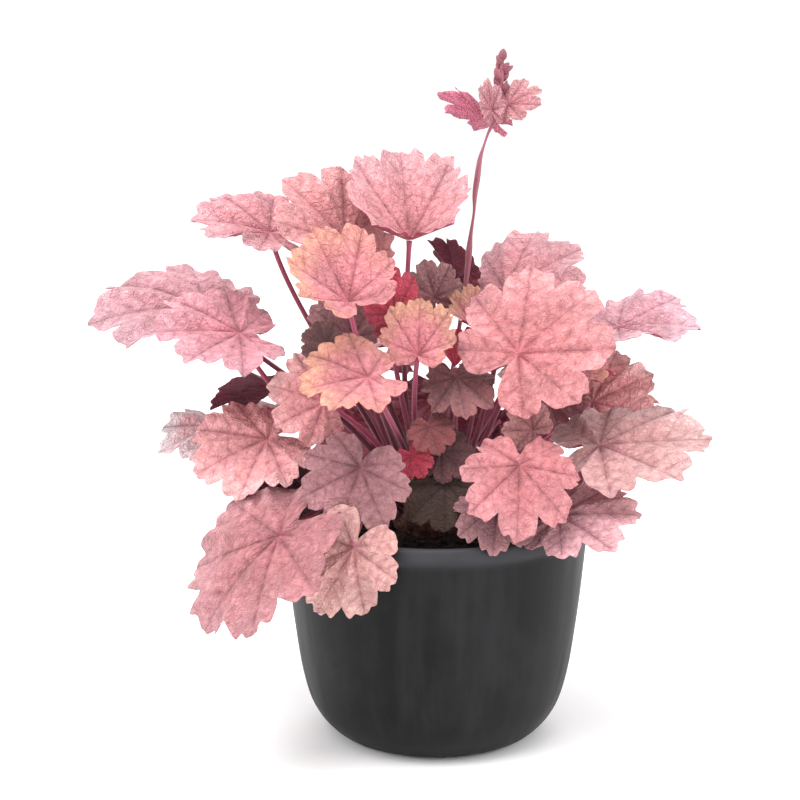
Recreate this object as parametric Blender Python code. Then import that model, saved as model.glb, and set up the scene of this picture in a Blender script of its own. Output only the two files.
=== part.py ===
"""Heuchera in a black nursery pot.

Every leaf is one closed solid: a lobed, toothed blade and the stalk it stands on.
The stalks leave a short crown in the compost. Sizes are in millimetres here and
are turned into metres when a mesh is made. The front of the plant looks along -Y.
"""

import bpy
import numpy as np

# Sizes

MM = 0.001
GAP = 0.35  # clear space between pieces that lie against each other
BLADE = 0.9  # thickness of a blade

POT_SIDES = 32
POT_OUTSIDE = ((59, 0), (66.5, 2.4), (74.6, 10), (80.4, 19), (84.4, 30), (88.2, 47), (91.3, 68), (94.6, 95),
               (98.6, 136.6))
POT_RIM = ((100.3, 137.6), (100.9, 141), (100.3, 146.2), (98, 148), (96, 147), (95.4, 143.5))
POT_INSIDE = ((95.4, 135), (91.9, 95), (88.7, 68), (81.6, 31.5), (71.5, 12), (59, 3))
DRAIN_HOLES = 5
DRAIN_RADIUS = 6
DRAIN_RING = 42

SOIL_TOP = 134
HOLE_RADIUS = 27.4  # plain hole in the compost that the crown stands in
HOLE_DEPTH = 10
CROWN_PROFILE = ((26.1, 124.3), (27, 136.6), (27.8, 139), (26.5, 144), (22.5, 148), (16, 151), (8, 152.6))
CROWN_SIDES = 16

# The stalks leave the crown in three rings. A row holds the radius of a ring, its height on the crown,
# and the outward and upward parts of the direction in which its stalks start.
RINGS = ((9.5, 152.3, 0.2, 0.98), (16.5, 150.8, 0.42, 0.91), (23.5, 147.0, 0.7, 0.714))

STEM_SIDES = 6  # of the flower stem and its buds
BUD_PROFILE = ((0, -1), (0.62, -0.75), (1, -0.05), (0.72, 0.6), (0, 1))

# Blade outline: angles from the middle vein, in degrees
VEINS = np.array([-128, -84, -42, 0, 42, 84, 128.0])
NOTCHES = np.array([-180, -106, -63, -21, 21, 63, 106, 180.0])

# Leaves. A row holds the name, the hub where the stalk joins the blade, the tip of the middle lobe, the way
# the upper face looks, the ring on the crown and the turn round it where the stalk starts, the tint, and what
# makes the blade its own: droop in degrees, cup, cone, fold, ruffle, wide, depth of lobe, radius of stalk, and
# the bow, lift and hang of the stalk in mm.

LEAVES = (
    ("leaf_01", (-17, 0, 322), (-23, 49, 341), (0, -0.3, 0.95), 0, 514, "pink",
     dict(cup=0.14, cone=0.64, droop=0, ruffle=0.04, lobe=0.12, wide=0.93, bow=16)),
    ("leaf_02", (-105, 10, 325), (-156, 10, 334), (-0.1, -0.38, 0.9), 1, 517, "pink",
     dict(fold=0.22, wide=0.85, bow=-12, lift=-4)),
    ("leaf_03", (-56, -7, 319), (-93, -2, 362), (0.2, -0.55, 0.85), 0, 182, "bright",
     dict(droop=10, fold=0.1)),
    ("leaf_04", (-54, -64, 292), (-78, -37, 316), (-0.1, -0.3, 0.95), 1, 224, "orange",
     dict(droop=0, cone=0.5, cup=0.08, wide=0.98, bow=-4, lift=-4)),
    ("leaf_05", (-148, 28, 273), (-222, 18, 262), (-0.1, -0.35, 0.93), 2, 504, "pink",
     dict(droop=40, fold=0.15, wide=0.85, bow=12, lift=16)),
    ("leaf_06", (-122, -28, 267), (-175, -43, 269), (-0.15, -0.5, 0.85), 2, 184, "pink",
     dict(fold=0.12, wide=0.95, bow=-16)),
    ("leaf_07", (-53, -10, 260), (-79, -12, 281), (0, -0.9, 0.45), 1, 177, "mauve", dict(bow=-12)),
    ("leaf_08", (-68, -35, 260), (-84, -34, 267), (-0.2, -0.9, 0.3), 1, 209, "dark",
     dict(stalk=1.1, bow=-8, lift=-8)),
    ("leaf_09", (-42, -83, 250), (-82, -93, 243), (0.05, -0.5, 0.86), 1, 243, "orange", dict(fold=0.2)),
    ("leaf_10", (-105, -45, 203), (-149, -60, 184), (-0.3, -0.72, 0.63), 2, 198, "rose",
     dict(droop=25, wide=0.95, bow=4)),
    ("leaf_11", (-138, 9, 199), (-178, -10, 187), (-0.4, -0.4, 0.85), 2, 527, "mauve",
     dict(droop=25, wide=0.9, bow=-8, lift=-8)),
    ("leaf_12", (-99, 16, 225), (-148, 18, 212), (-0.1, 0.45, 0.88), 2, 515, "purple",
     dict(droop=10, wide=0.9, lift=4)),
    ("leaf_13", (-95, -101, 157), (-143, -111, 101), (-0.5, -0.6, 0.6), 2, 226, "pink",
     dict(droop=30, wide=0.78, lobe=0.14, hang=0.6, lift=6, bow=4)),
    ("leaf_14", (-51, -103, 150), (-73, -106, 110), (0.15, -0.8, 0.55), 2, 250, "rose",
     dict(wide=0.88, hang=1, lift=8)),
    ("leaf_15", (-47, -78, 193), (-61, -98, 158), (0.05, -0.9, 0.4), 2, 237, "mauve",
     dict(droop=15, lobe=0.16)),
    ("leaf_16", (-81, -50, 170), (-115, -62, 167), (-0.2, -0.8, 0.55), 2, 210, "purple", dict()),
    ("leaf_17", (-5, -55, 213), (1, -66, 198), (0, -0.8, 0.6), 1, 269, "rose", dict(stalk=1, ruffle=0.1)),
    ("leaf_18", (-16, -60, 196), (-8, -64, 183), (-0.1, -0.9, 0.4), 2, 264, "crimson",
     dict(stalk=0.9, bow=8, lift=4)),
    ("leaf_19", (5, -58, 178), (-18, -71, 158), (0, -0.85, 0.5), 2, 283, "olive", dict()),
    ("leaf_20", (49, -80, 195), (46, -110, 156), (0, -0.85, 0.5), 2, 312, "bright",
     dict(wide=0.92, droop=25, lobe=0.22, bow=-4)),
    ("leaf_21", (37, -72, 169), (32, -102, 146), (-0.1, -0.85, 0.5), 2, 302, "mauve", dict(wide=0.9)),
    ("leaf_22", (73, -75, 163), (123, -83, 165), (0.22, -0.52, 0.8), 2, 326, "mauve", dict(wide=0.88)),
    ("leaf_23", (100, -48, 200), (168, -56, 205), (0.15, -0.35, 0.92), 2, 349, "pink",
     dict(droop=15, wide=0.9, bow=8, lift=-4)),
    ("leaf_24", (101, 8, 215), (141, 16, 232), (0.3, -0.7, 0.6), 2, 375, "rose", dict(wide=0.9)),
    ("leaf_25", (49, -53, 258), (97, -38, 297), (0.1, -0.72, 0.68), 1, 318, "bright",
     dict(wide=0.95, lobe=0.2)),
    ("leaf_26", (45, 33, 284), (95, 43, 312), (0, -0.38, 0.9), 1, 396, "pink", dict(droop=15, wide=1.02)),
    ("leaf_27", (115, 0, 266), (168, -8, 268), (0.1, -0.35, 0.92), 1, 371, "pink",
     dict(fold=0.2, wide=0.78)),
    ("leaf_28", (-12, -39, 255), (-10, -13, 277), (0, -0.3, 0.95), 0, 251, "yellow",
     dict(droop=0, wide=0.88, cone=0.5, bow=8, lift=-4)),
    ("leaf_29", (12, -7, 242), (10, -29, 244), (0, 0.1, 1), 0, 325, "crimson",
     dict(cone=1.25, stalk=1.3, wide=0.95)),
    ("leaf_30", (26, 8, 264), (22, 29, 272), (0, -0.3, 0.95), 0, 352, "yellow",
     dict(cup=0.15, cone=0.7, droop=0, stalk=1.2, bow=6)),
    ("leaf_31", (-1, 15, 282), (-8, 18, 306), (0, -0.85, 0.5), 0, 450, "mauve", dict()),
    ("leaf_32", (-26, -19, 276), (-30, -15, 308), (0.2, -0.9, 0.3), 0, 217, "crimson", dict(wide=0.75)),
    ("leaf_33", (12, -32, 239), (17, -63, 219), (0, -0.6, 0.8), 0, 295, "mauve",
     dict(ruffle=0.09, wide=0.8)),
    ("leaf_34", (59, -46, 209), (43, -48, 224), (-0.1, -0.8, 0.5), 2, 338, "rose",
     dict(ruffle=0.12, stalk=1.1)),
    ("leaf_35", (78, -30, 241), (112, -32, 239), (0, 0.1, 0.97), 1, 339, "orange",
     dict(ruffle=0.08, stalk=1.1)),
    ("leaf_36", (-70, -36, 224), (-104, -45, 238), (-0.15, -0.85, 0.5), 1, 195, "rose",
     dict(bow=-4, lift=16)),
    ("leaf_37", (2, -53, 198), (18, -59, 183), (0.1, -0.9, 0.4), 1, 283, "dark", dict(stalk=1, lift=8)),
    ("leaf_38", (14, 41, 289), (-3, 45, 317), (0.5, 0.7, 0.35), 0, 420, "purple",
     dict(stalk=1.1, fold=0.5, wide=0.6, bow=-9)),
    ("leaf_39", (70, -3, 222), (99, 3, 228), (0.1, -0.85, 0.5), 1, 358, "purple", dict(bow=8)),
    ("leaf_40", (95, 56.5, 209), (146, 86.5, 201), (0.45, 0.3, 0.85), 2, 397, "rose", dict()),
    ("leaf_41", (44, 64, 190), (52, 94, 146), (0.1, 0.85, 0.5), 2, 419, "pink", dict(wide=0.9, hang=0.6)),
    ("leaf_42", (2, 98, 200), (2, 128, 154), (0, 0.85, 0.5), 2, 444, "rose", dict(hang=0.5)),
    ("leaf_43", (-41, 66, 191), (-45, 99, 151), (0, 0.85, 0.5), 2, 469, "pink", dict(wide=0.75, hang=0.6)),
    ("leaf_44", (-98, 53.5, 200), (-142, 83.5, 188), (-0.4, 0.2, 0.88), 2, 493, "mauve", dict(wide=0.88)),
    ("leaf_45", (52, 51, 232), (95, 88, 228), (0.2, 0.2, 0.95), 1, 415, "pink", dict()),
    ("leaf_46", (2, 59.5, 243), (-2, 117.5, 239), (0, 0.2, 0.98), 1, 449, "bright", dict()),
    ("leaf_47", (-46, 52, 233), (-80, 88, 221), (-0.2, 0.55, 0.8), 1, 485, "pink", dict()),
)

TINTS = {
    "bright": (0.72, 0.26, 0.28),
    "crimson": (0.42, 0.05, 0.1),
    "dark": (0.09, 0.04, 0.04),
    "mauve": (0.33, 0.14, 0.17),
    "olive": (0.07, 0.04, 0.03),
    "orange": (0.72, 0.3, 0.18),
    "pink": (0.62, 0.24, 0.26),
    "purple": (0.14, 0.05, 0.07),
    "rose": (0.5, 0.18, 0.18),
    "yellow": (0.66, 0.32, 0.17),
}

# Flower stem: points up it and its radius there

STEM = (
    ((0, 0, 153.4), 2.2),
    ((2, 5, 176), 1.9),
    ((8, 16, 214), 1.6),
    ((18, 27, 278.5), 1.4),
    ((20.5, 30, 297.5), 1.8),
    ((21.5, 30, 310), 2.1),
    ((22.5, 30, 320.5), 1.3),
    ((24.5, 30, 335), 0.9),
    ((25, 30, 346.5), 1.7),
    ((26.5, 30, 358), 2),
    ((28, 30, 369), 1.5),
    ((30.5, 30, 377.5), 0.8),
    ((33, 30, 385), 0.9),
    ((37, 30, 393.5), 1.5),
    ((40, 30, 400.5), 2),
    ((40.5, 30, 411.5), 1.8),
    ((41, 30, 420), 1.6),
    ((41.5, 30, 429), 1.2),
    ((42, 30, 433), 0.8),
)

# Buds: middle, the way each points, radius and half length

BUDS = (
    ((42, 30, 434.5), (0.1, 0, 1), 2.8, 4),
    ((39.5, 29, 431.5), (-0.5, 0, 1), 1.8, 3.2),
    ((43.5, 30, 427), (0.8, 0, 0.8), 2, 3.8),
    ((45.5, 31, 425.5), (0.9, 0.2, 0.6), 1.7, 4),
    ((38.5, 28, 422.5), (-0.35, -0.2, 1), 2.2, 4.4),
    ((38, 29, 417), (-0.35, 0, 1), 1.7, 4.2),
    ((44, 32, 421.5), (0.45, 0.2, 1), 2, 4.4),
    ((43.5, 29, 415), (0.35, -0.1, 1), 1.5, 4),
    ((39.5, 32, 428), (-0.2, 0.3, 1), 2, 3.4),
)

# Bract leaves: hub, tip, the way each faces, where it joins the stem, and its shape

BRACTS = (
    ((33, 36, 395.5), (1, 35, 410.5), (-0.1, 0.6, 0.75), (37, 30.5, 391),
     dict(wide=0.5, lobe=0.34, stalk=0.9, droop=10, ruffle=0.06)),
    ((35, 20, 400.5), (30, 14, 419.5), (-0.45, -0.8, 0.3), (38.5, 29.5, 397.5),
     dict(wide=0.56, lobe=0.2, stalk=0.8, droop=-15)),
    ((45.5, 26, 404), (67.5, 31, 414.5), (0.05, -0.78, 0.62), (40, 30, 400),
     dict(wide=0.7, lobe=0.28, stalk=0.9, droop=25, ruffle=0.06)),
)

# Small helpers


def unit(v):
    return v / np.linalg.norm(v)


def add_material(name, colour, roughness):
    material = bpy.data.materials.new(name)
    material.use_nodes = True
    shader = material.node_tree.nodes["Principled BSDF"]
    shader.inputs["Base Color"].default_value = (*colour, 1)
    shader.inputs["Roughness"].default_value = roughness
    return material


def add_mesh(name, points, faces, material, smooth=False):
    mesh = bpy.data.meshes.new(name)
    mesh.from_pydata((np.asarray(points) * MM).tolist(), [], [tuple(map(int, f)) for f in faces])
    mesh.materials.append(material)
    mesh.polygons.foreach_set("use_smooth", [smooth] * len(mesh.polygons))
    mesh.update()
    made = bpy.data.objects.new(name, mesh)
    bpy.context.scene.collection.objects.link(made)
    return made


def turned(profile, sides):
    """Points and faces of a closed solid of revolution. The profile runs anticlockwise, axis to axis."""
    turn = np.arange(sides) * 2 * np.pi / sides
    points, rings = [], []
    for r, z in profile:
        count = sides if r else 1
        rings.append(len(points) + np.arange(count))
        points += [(r * np.cos(a), r * np.sin(a), z) for a in turn[:count]]
    faces = []
    for low, high in zip(rings[:-1], rings[1:]):
        for i in range(sides):
            j = (i + 1) % sides
            if len(low) == 1:
                faces.append((low[0], high[j], high[i]))
            elif len(high) == 1:
                faces.append((low[i], low[j], high[0]))
            else:
                faces += [(low[i], low[j], high[j]), (low[i], high[j], high[i])]
    return points, faces


def cut(target, cutter):
    modifier = target.modifiers.new(cutter.name, "BOOLEAN")
    modifier.operation = "DIFFERENCE"
    modifier.solver = "EXACT"
    modifier.object = cutter
    cutter.hide_render = True
    cutter.display_type = "WIRE"


def join_collection(target, pieces):
    """Joins the pieces to the target by one union, and removes them."""
    modifier = target.modifiers.new("join", "BOOLEAN")
    modifier.operation = "UNION"
    modifier.solver = "EXACT"
    modifier.operand_type = "COLLECTION"
    modifier.collection = pieces
    graph = bpy.context.evaluated_depsgraph_get()
    target.data = bpy.data.meshes.new_from_object(target.evaluated_get(graph))
    target.modifiers.clear()
    for piece in list(pieces.objects):
        bpy.data.objects.remove(piece)
    bpy.data.collections.remove(pieces)


# Leaf blade


def nearest_vein(angle):
    """For each angle: how far it lies from its vein towards the notch, from -1 to 1."""
    k = np.clip(np.searchsorted(NOTCHES, angle, side="right") - 1, 0, 6)
    vein, low, high = VEINS[k], NOTCHES[k], NOTCHES[k + 1]
    return np.where(angle >= vein, (angle - vein) / (high - vein), (angle - vein) / (vein - low))


def outline(angle, lobe):
    """Distance from hub to edge, as a share of the blade's length. Lobes narrow towards the sinus,
    and each lobe carries three rounded teeth."""
    x, away = nearest_vein(angle), np.abs(angle)
    size = 0.55 + 0.45 * np.cos(np.radians(away) / 2) ** 2
    sinus = np.clip((away - 148) / 32, 0, 1)
    sinus = sinus * sinus * (3 - 2 * sinus)
    size = size * (1 - sinus) + 0.16 * sinus
    notch = 1 - np.where(away > 128, 0.10, lobe) * np.abs(x) ** 2.6
    teeth = 1 - 0.06 * (1 - np.abs(np.cos(np.pi * x * 1.5))) * np.where(away > 160, 0.2, 1)
    return size * notch * teeth


class Leaf:
    """The axes and the bends of one leaf, worked out from its row in the table."""

    def __init__(self, hub, tip, face, droop=20, cup=0, cone=0, fold=0, ruffle=0.05, wide=1, lobe=0.17,
                 stalk=1.5, seed=0, **path):
        self.hub = np.array(hub, float)
        along = np.array(tip, float) - self.hub
        length = np.linalg.norm(along)
        t = along / length
        n = unit(np.array(face, float) - np.dot(face, t) * t)
        self.side = np.cross(n, t)
        half = np.radians(droop) / 2
        self.t0 = np.cos(half) * t + np.sin(half) * n
        self.n0 = np.cos(half) * n - np.sin(half) * t
        self.length = length * (half / np.sin(half) if half else 1)
        self.bend = max(np.radians(droop) / self.length, 1e-9)
        self.cup, self.cone, self.fold, self.ruffle = cup, cone, fold, ruffle
        self.wide, self.lobe, self.stalk, self.path = wide, lobe, stalk, path
        chance = np.random.default_rng(1000 + seed)
        self.wave_turn = chance.uniform(0, 2 * np.pi, 3)
        self.wave_size = chance.uniform(0.6, 1.0, 3) * (0.5, 0.8, 0.6)

    def surface(self, reach, angle, lift):
        """Points of the blade: reach is the distance from the hub in mm, angle is from the middle vein, and
        lift is the height over the upper face. Height grows as a cup with the square of the reach, as a cone
        and a fold with the reach, dips along the veins, and waves most at the edge."""
        turn = np.radians(angle)
        a, b = reach * np.cos(turn), reach * np.sin(turn) * self.wide
        share = np.minimum(reach / (outline(angle, self.lobe) * self.length), 1)
        q = reach / self.length
        height = self.cup * self.length * q**2 + self.cone * reach
        height += self.fold * np.abs(b) * np.minimum(1, 2 * q)
        pleat = 0.1 * np.where(np.abs(angle) > 128, 0.5, 1)
        height += pleat * self.length * q * (np.abs(nearest_vein(angle)) ** 1.5 - 0.5)
        wave = sum(s * np.cos(m * turn + p) for s, m, p in zip(self.wave_size, (2, 3, 5), self.wave_turn))
        height += self.ruffle * self.length * wave * share**2 * np.where(np.abs(angle) > 150, 0.4, 1) + lift
        bend = np.where(a > 0, self.bend, self.bend / 2)
        arc = bend * a
        base = self.hub + (np.sin(arc) / bend)[:, None] * self.t0 - ((1 - np.cos(arc)) / bend)[:, None] * self.n0
        up = np.cos(arc)[:, None] * self.n0 + np.sin(arc)[:, None] * self.t0
        return base + b[:, None] * self.side + height[:, None] * up


def edge_angles():
    """Six samples to a lobe: its tooth tips, the dips between them and the notch at its end."""
    found = []
    for k, vein in enumerate(VEINS):
        low, high = NOTCHES[k], NOTCHES[k + 1]
        if k == 0:
            found += [-180, -163, vein + (low + 20 - vein) / 2]
        else:
            found += [low, vein + (low - vein) * 0.66, vein + (low - vein) * 0.33]
        if k == 6:
            found += [vein, vein + (high - 20 - vein) / 2, 163]
        else:
            found += [vein, vein + (high - vein) * 0.33, vein + (high - vein) * 0.66]
    return np.array(found, float)


EDGE = edge_angles()
MIDDLE = np.sort(np.concatenate([VEINS, NOTCHES[:-1]]))
STALK_SIDES = 5
HUB = np.sort((np.arange(STALK_SIDES) * 72 + 180) % 360 - 180.0)


def band(outer, inner, first_outer, first_inner):
    """Triangles between two rings of angles, taken in order round the blade."""
    found, i, j, m, n = [], 0, 0, len(outer), len(inner)
    while i < m or j < n:
        next_outer = outer[i + 1] if i + 1 < m else outer[0] + 360 if i < m else 1e9
        next_inner = inner[j + 1] if j + 1 < n else inner[0] + 360 if j < n else 1e9
        if i < m and (next_outer <= next_inner or j >= n):
            found.append((first_outer + i % m, first_outer + (i + 1) % m, first_inner + j % n))
            i += 1
        else:
            found.append((first_outer + i % m, first_inner + (j + 1) % n, first_inner + j % n))
            j += 1
    return found


# Leaf stalk


def stalk_path(leaf, root, out):
    """A smooth curve from the underside of the hub down to the root, which it reaches against `out`."""
    bow, lift, hang = (leaf.path.get(k, 0) for k in ("bow", "lift", "hang"))
    top = leaf.hub - BLADE / 2 * leaf.n0
    far = np.linalg.norm(top - root)
    side = unit(np.cross(top - root, (0, 0, 1))) * bow
    arrive = unit(0.85 * leaf.n0 + 0.45 * leaf.t0 - np.array((0, 0, hang)))
    low = root + out * far * 0.34 + side + np.array((0, 0, lift))
    high = top - arrive * min(far * 0.36, 45) + side * 0.6 + np.array((0, 0, lift * 0.6))
    s = np.linspace(1, 0, 40)[:, None]
    return (1 - s) ** 3 * root + 3 * (1 - s) ** 2 * s * low + 3 * (1 - s) * s**2 * high + s**3 * top


def tube_rings(path, shares, radii, u, w, sides):
    """Rings of points square to the path. u and w start the first ring, so that no ring twists."""
    run = np.concatenate([[0], np.cumsum(np.linalg.norm(np.diff(path, axis=0), axis=1))])
    turn = (np.arange(sides) * 2 * np.pi / sides)[:, None]
    rings = []
    for share, radius in zip(shares, radii):
        at = share * run[-1]
        step = max(run[-1] * 0.01, 0.5)
        before, here, after = (
            np.array([np.interp(d, run, path[:, i]) for i in range(3)])
            for d in (max(at - step, 0), at, min(at + step, run[-1]))
        )
        t = unit(after - before)
        u = unit(u - (u @ t) * t)
        w = unit(w - (w @ t) * t - (w @ u) * u)
        rings.append(here + radius * (np.cos(turn) * u + np.sin(turn) * w))
    return rings


def leaf_solid(leaf, root, out, segments=5):
    """Points and faces of a whole leaf: upper face, lower face, edge, and the stalk grown from the hub."""
    hub_reach = leaf.stalk * 1.25

    def face(lift):
        middle = np.maximum(outline(MIDDLE, leaf.lobe) * leaf.length * 0.56, hub_reach * 1.5)
        return np.vstack([
            leaf.surface(outline(EDGE, leaf.lobe) * leaf.length, EDGE, lift),
            leaf.surface(middle, MIDDLE, lift),
            leaf.surface(np.full(STALK_SIDES, hub_reach), HUB, lift),
        ])

    points = [face(0), face(-BLADE)]
    n, m = len(points[0]), len(EDGE)
    hub = m + len(MIDDLE)
    upper = band(EDGE, MIDDLE, 0, m) + band(MIDDLE, HUB, m, hub)
    faces = upper + [(hub, hub + i, hub + i + 1) for i in range(1, STALK_SIDES - 1)]
    faces += [(n + a, n + c, n + b) for a, b, c in upper]
    for i in range(m):
        j = (i + 1) % m
        faces += [(n + i, n + j, j), (n + i, j, i)]

    path = stalk_path(leaf, root, out)
    first = min(3.5 / np.linalg.norm(np.diff(path, axis=0), axis=1).sum(), 0.4)
    shares = np.linspace(first, 1, segments)
    start = np.radians(HUB[0])
    u = np.cos(start) * leaf.t0 + np.sin(start) * leaf.side
    w = np.cos(start) * leaf.side - np.sin(start) * leaf.t0
    rings = tube_rings(path, shares, leaf.stalk * (1 + 0.35 * shares), u, w, STALK_SIDES)
    before = n + hub
    for k, ring in enumerate(rings):
        points.append(ring)
        now = 2 * n + k * STALK_SIDES
        for i in range(STALK_SIDES):
            j = (i + 1) % STALK_SIDES
            faces += [(now + i, now + j, before + j), (now + i, before + j, before + i)]
        before = now
    faces += [(before, before + i + 1, before + i) for i in range(1, STALK_SIDES - 1)]
    return np.vstack(points), faces


def root_of(ring, turn):
    """Where a stalk stands on the crown, and the direction in which it starts."""
    radius, height, outward, upward = RINGS[ring]
    side = np.array((np.cos(np.radians(turn)), np.sin(np.radians(turn)), 0))
    out = outward * side + np.array((0, 0, upward))
    return radius * side + np.array((0, 0, height)) + 0.6 * out, out


# Build

for old in list(bpy.data.objects):
    bpy.data.objects.remove(old)

plastic = add_material("black plastic", (0.035, 0.035, 0.038), 0.55)
compost = add_material("compost", (0.03, 0.02, 0.016), 0.95)
rootstock = add_material("rootstock", (0.12, 0.05, 0.04), 0.85)
stem_skin = add_material("stem", (0.32, 0.08, 0.12), 0.6)
tints = {name: add_material("leaf " + name, colour, 0.6) for name, colour in TINTS.items()}

# Pot, with drain holes round the flat of its base
pot = add_mesh("pot", *turned(((0, 0), *POT_OUTSIDE, *POT_RIM, *POT_INSIDE, (0, 3)), POT_SIDES), plastic, True)
for i in range(DRAIN_HOLES):
    turn = np.radians(i * 360 / DRAIN_HOLES + 30)
    points, faces = turned(((0, -3), (DRAIN_RADIUS, -3), (DRAIN_RADIUS, 6), (0, 6)), 8)
    points = np.array(points) + (DRAIN_RING * np.cos(turn), DRAIN_RING * np.sin(turn), 0)
    cut(pot, add_mesh(f"drain_cutter_{i}", points, faces, plastic))

# Compost: it lies just off the inside of the pot, with a plain hole for the crown
wall = [(r - GAP, z) for r, z in POT_INSIDE[::-1] if 3 < z < SOIL_TOP - 1]
soil_profile = [(0, 3 + GAP), (58.7, 3 + GAP), *wall, (94.6, SOIL_TOP - 3), (84, SOIL_TOP), (56, SOIL_TOP + 1.8),
                (HOLE_RADIUS + 0.1, SOIL_TOP + 2.5), (HOLE_RADIUS - 0.9, SOIL_TOP - HOLE_DEPTH),
                (0, SOIL_TOP - HOLE_DEPTH)]
add_mesh("soil", *turned(soil_profile, POT_SIDES), compost, True)

# Crown
add_mesh("crown", *turned(((0, 124.3), *CROWN_PROFILE, (0, 153)), CROWN_SIDES), rootstock, True)

# Leaves
for seed, (name, hub, tip, face, ring, turn, tint, shape) in enumerate(LEAVES):
    points, faces = leaf_solid(Leaf(hub, tip, face, seed=seed, **shape), *root_of(ring, turn))
    add_mesh(name, points, faces, tints[tint])

# Flower stem: a thin stem with swollen sheaths, its buds and its bract leaves joined into one piece
path = np.array([point for point, _ in STEM], float)
run = np.concatenate([[0], np.cumsum(np.linalg.norm(np.diff(path, axis=0), axis=1))])
rings = tube_rings(path, run / run[-1], [radius for _, radius in STEM], np.array((1.0, 0, 0)),
                   np.array((0, 1.0, 0)), STEM_SIDES)
points = np.vstack(rings)
faces = [tuple(range(STEM_SIDES))[::-1], tuple(range(len(points) - STEM_SIDES, len(points)))]
for low in range(0, len(points) - STEM_SIDES, STEM_SIDES):
    for i in range(STEM_SIDES):
        j = (i + 1) % STEM_SIDES
        high = low + STEM_SIDES
        faces += [(low + i, low + j, high + j), (low + i, high + j, high + i)]
stem = add_mesh("flower_stem", points, faces, stem_skin, True)

on_stem = bpy.data.collections.new("on the stem")
for i, (middle, axis, radius, length) in enumerate(BUDS):
    w = unit(np.array(axis, float))
    u = unit(np.cross(w, (0, 1, 0.2)))
    v = np.cross(w, u)
    ball, ball_faces = turned(BUD_PROFILE, STEM_SIDES)
    ball = np.array(ball)
    ball = ball[:, :1] * radius * u + ball[:, 1:2] * radius * v + ball[:, 2:] * length * w + middle
    on_stem.objects.link(add_mesh(f"bud_{i}", ball, ball_faces, stem_skin))
for i, (hub, tip, face, root, shape) in enumerate(BRACTS):
    leaf = Leaf(hub, tip, face, seed=80 + i, **shape)
    root = np.array(root, float)
    points, faces = leaf_solid(leaf, root, unit(leaf.hub - root), segments=2)
    on_stem.objects.link(add_mesh(f"bract_{i}", points, faces, stem_skin))
join_collection(stem, on_stem)
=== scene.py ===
# %% [markdown]
# # A heuchera in its nursery pot
#
# The plant is a low dome of lobed leaves. Each leaf is one blade on one thin stalk, and every stalk
# leaves a short crown in the middle of the compost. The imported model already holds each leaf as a
# coarse solid. Here every solid is dressed with a finer surface that keeps its form, and that has the
# veins, quilting, teeth and colour that a coarse solid can't carry.

import bpy
import numpy as np
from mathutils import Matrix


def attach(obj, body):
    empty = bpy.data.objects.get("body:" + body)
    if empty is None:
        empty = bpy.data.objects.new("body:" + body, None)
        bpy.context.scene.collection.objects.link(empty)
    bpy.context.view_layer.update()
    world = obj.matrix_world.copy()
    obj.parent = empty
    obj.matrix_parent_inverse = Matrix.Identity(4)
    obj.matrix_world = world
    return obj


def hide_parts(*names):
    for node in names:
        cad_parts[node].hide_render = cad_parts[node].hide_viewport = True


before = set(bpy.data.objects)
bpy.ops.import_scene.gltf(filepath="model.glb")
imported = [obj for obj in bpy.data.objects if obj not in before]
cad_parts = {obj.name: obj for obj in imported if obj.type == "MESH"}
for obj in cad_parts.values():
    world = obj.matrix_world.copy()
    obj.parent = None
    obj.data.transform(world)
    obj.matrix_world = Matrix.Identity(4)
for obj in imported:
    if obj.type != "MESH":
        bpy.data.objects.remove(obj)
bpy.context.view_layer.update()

# %% [markdown]
# ## Sizes
#
# All sizes are in millimetres and become metres only where a mesh is filled. The same table of leaves
# made the solids, so each fine leaf grows from the same hub, turns the same way and droops as much.

# %% Sizes
MM = 0.001
BLADE = 0.9  # thickness of a solid blade
MARGIN = BLADE / 2  # how far the fine blade's middle lies under the upper face of the solid one
SPACING = 0.155  # between side veins, as a share of the blade's length
STAGGER = 0.4  # how far the side veins of one side are ahead of the other side's
BARB_SLOPE = 0.62  # how far a side vein runs forward for each mm that it runs sideways
QUILT = 0.023  # height of the quilting, as a share of the blade's length
LOBES = 7
COLUMNS, SMALL_COLUMNS, SMALL_LEAF = 28, 16, 25  # points round each lobe, or on a leaf under 25 mm
STALK_SIDES = 10
TEETH, SAW_TOP = 5.0, 0.62  # small teeth to a lobe, and how much of a tooth is its slow rise
VEINS = np.array([-128, -84, -42, 0, 42, 84, 128.0])
NOTCHES = np.array([-180, -106, -63, -21, 21, 63, 106, 180.0])
# Seeds of the random numbers: leaves and bract leaves add their own number to the first ones
SHAPE_SEED, TINT_SEED, BRACT_SEED, SOIL_SEED, CRUMB_SEED, CROWN_SEED = 1000, 500, 80, 7, 11, 21
# Rings on the crown where stalks stand: radius, height, and the outward and upward parts of their start
RINGS = ((9.5, 152.3, 0.2, 0.98), (16.5, 150.8, 0.42, 0.91), (23.5, 147.0, 0.7, 0.714))
SOIL_TOP = 134

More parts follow.
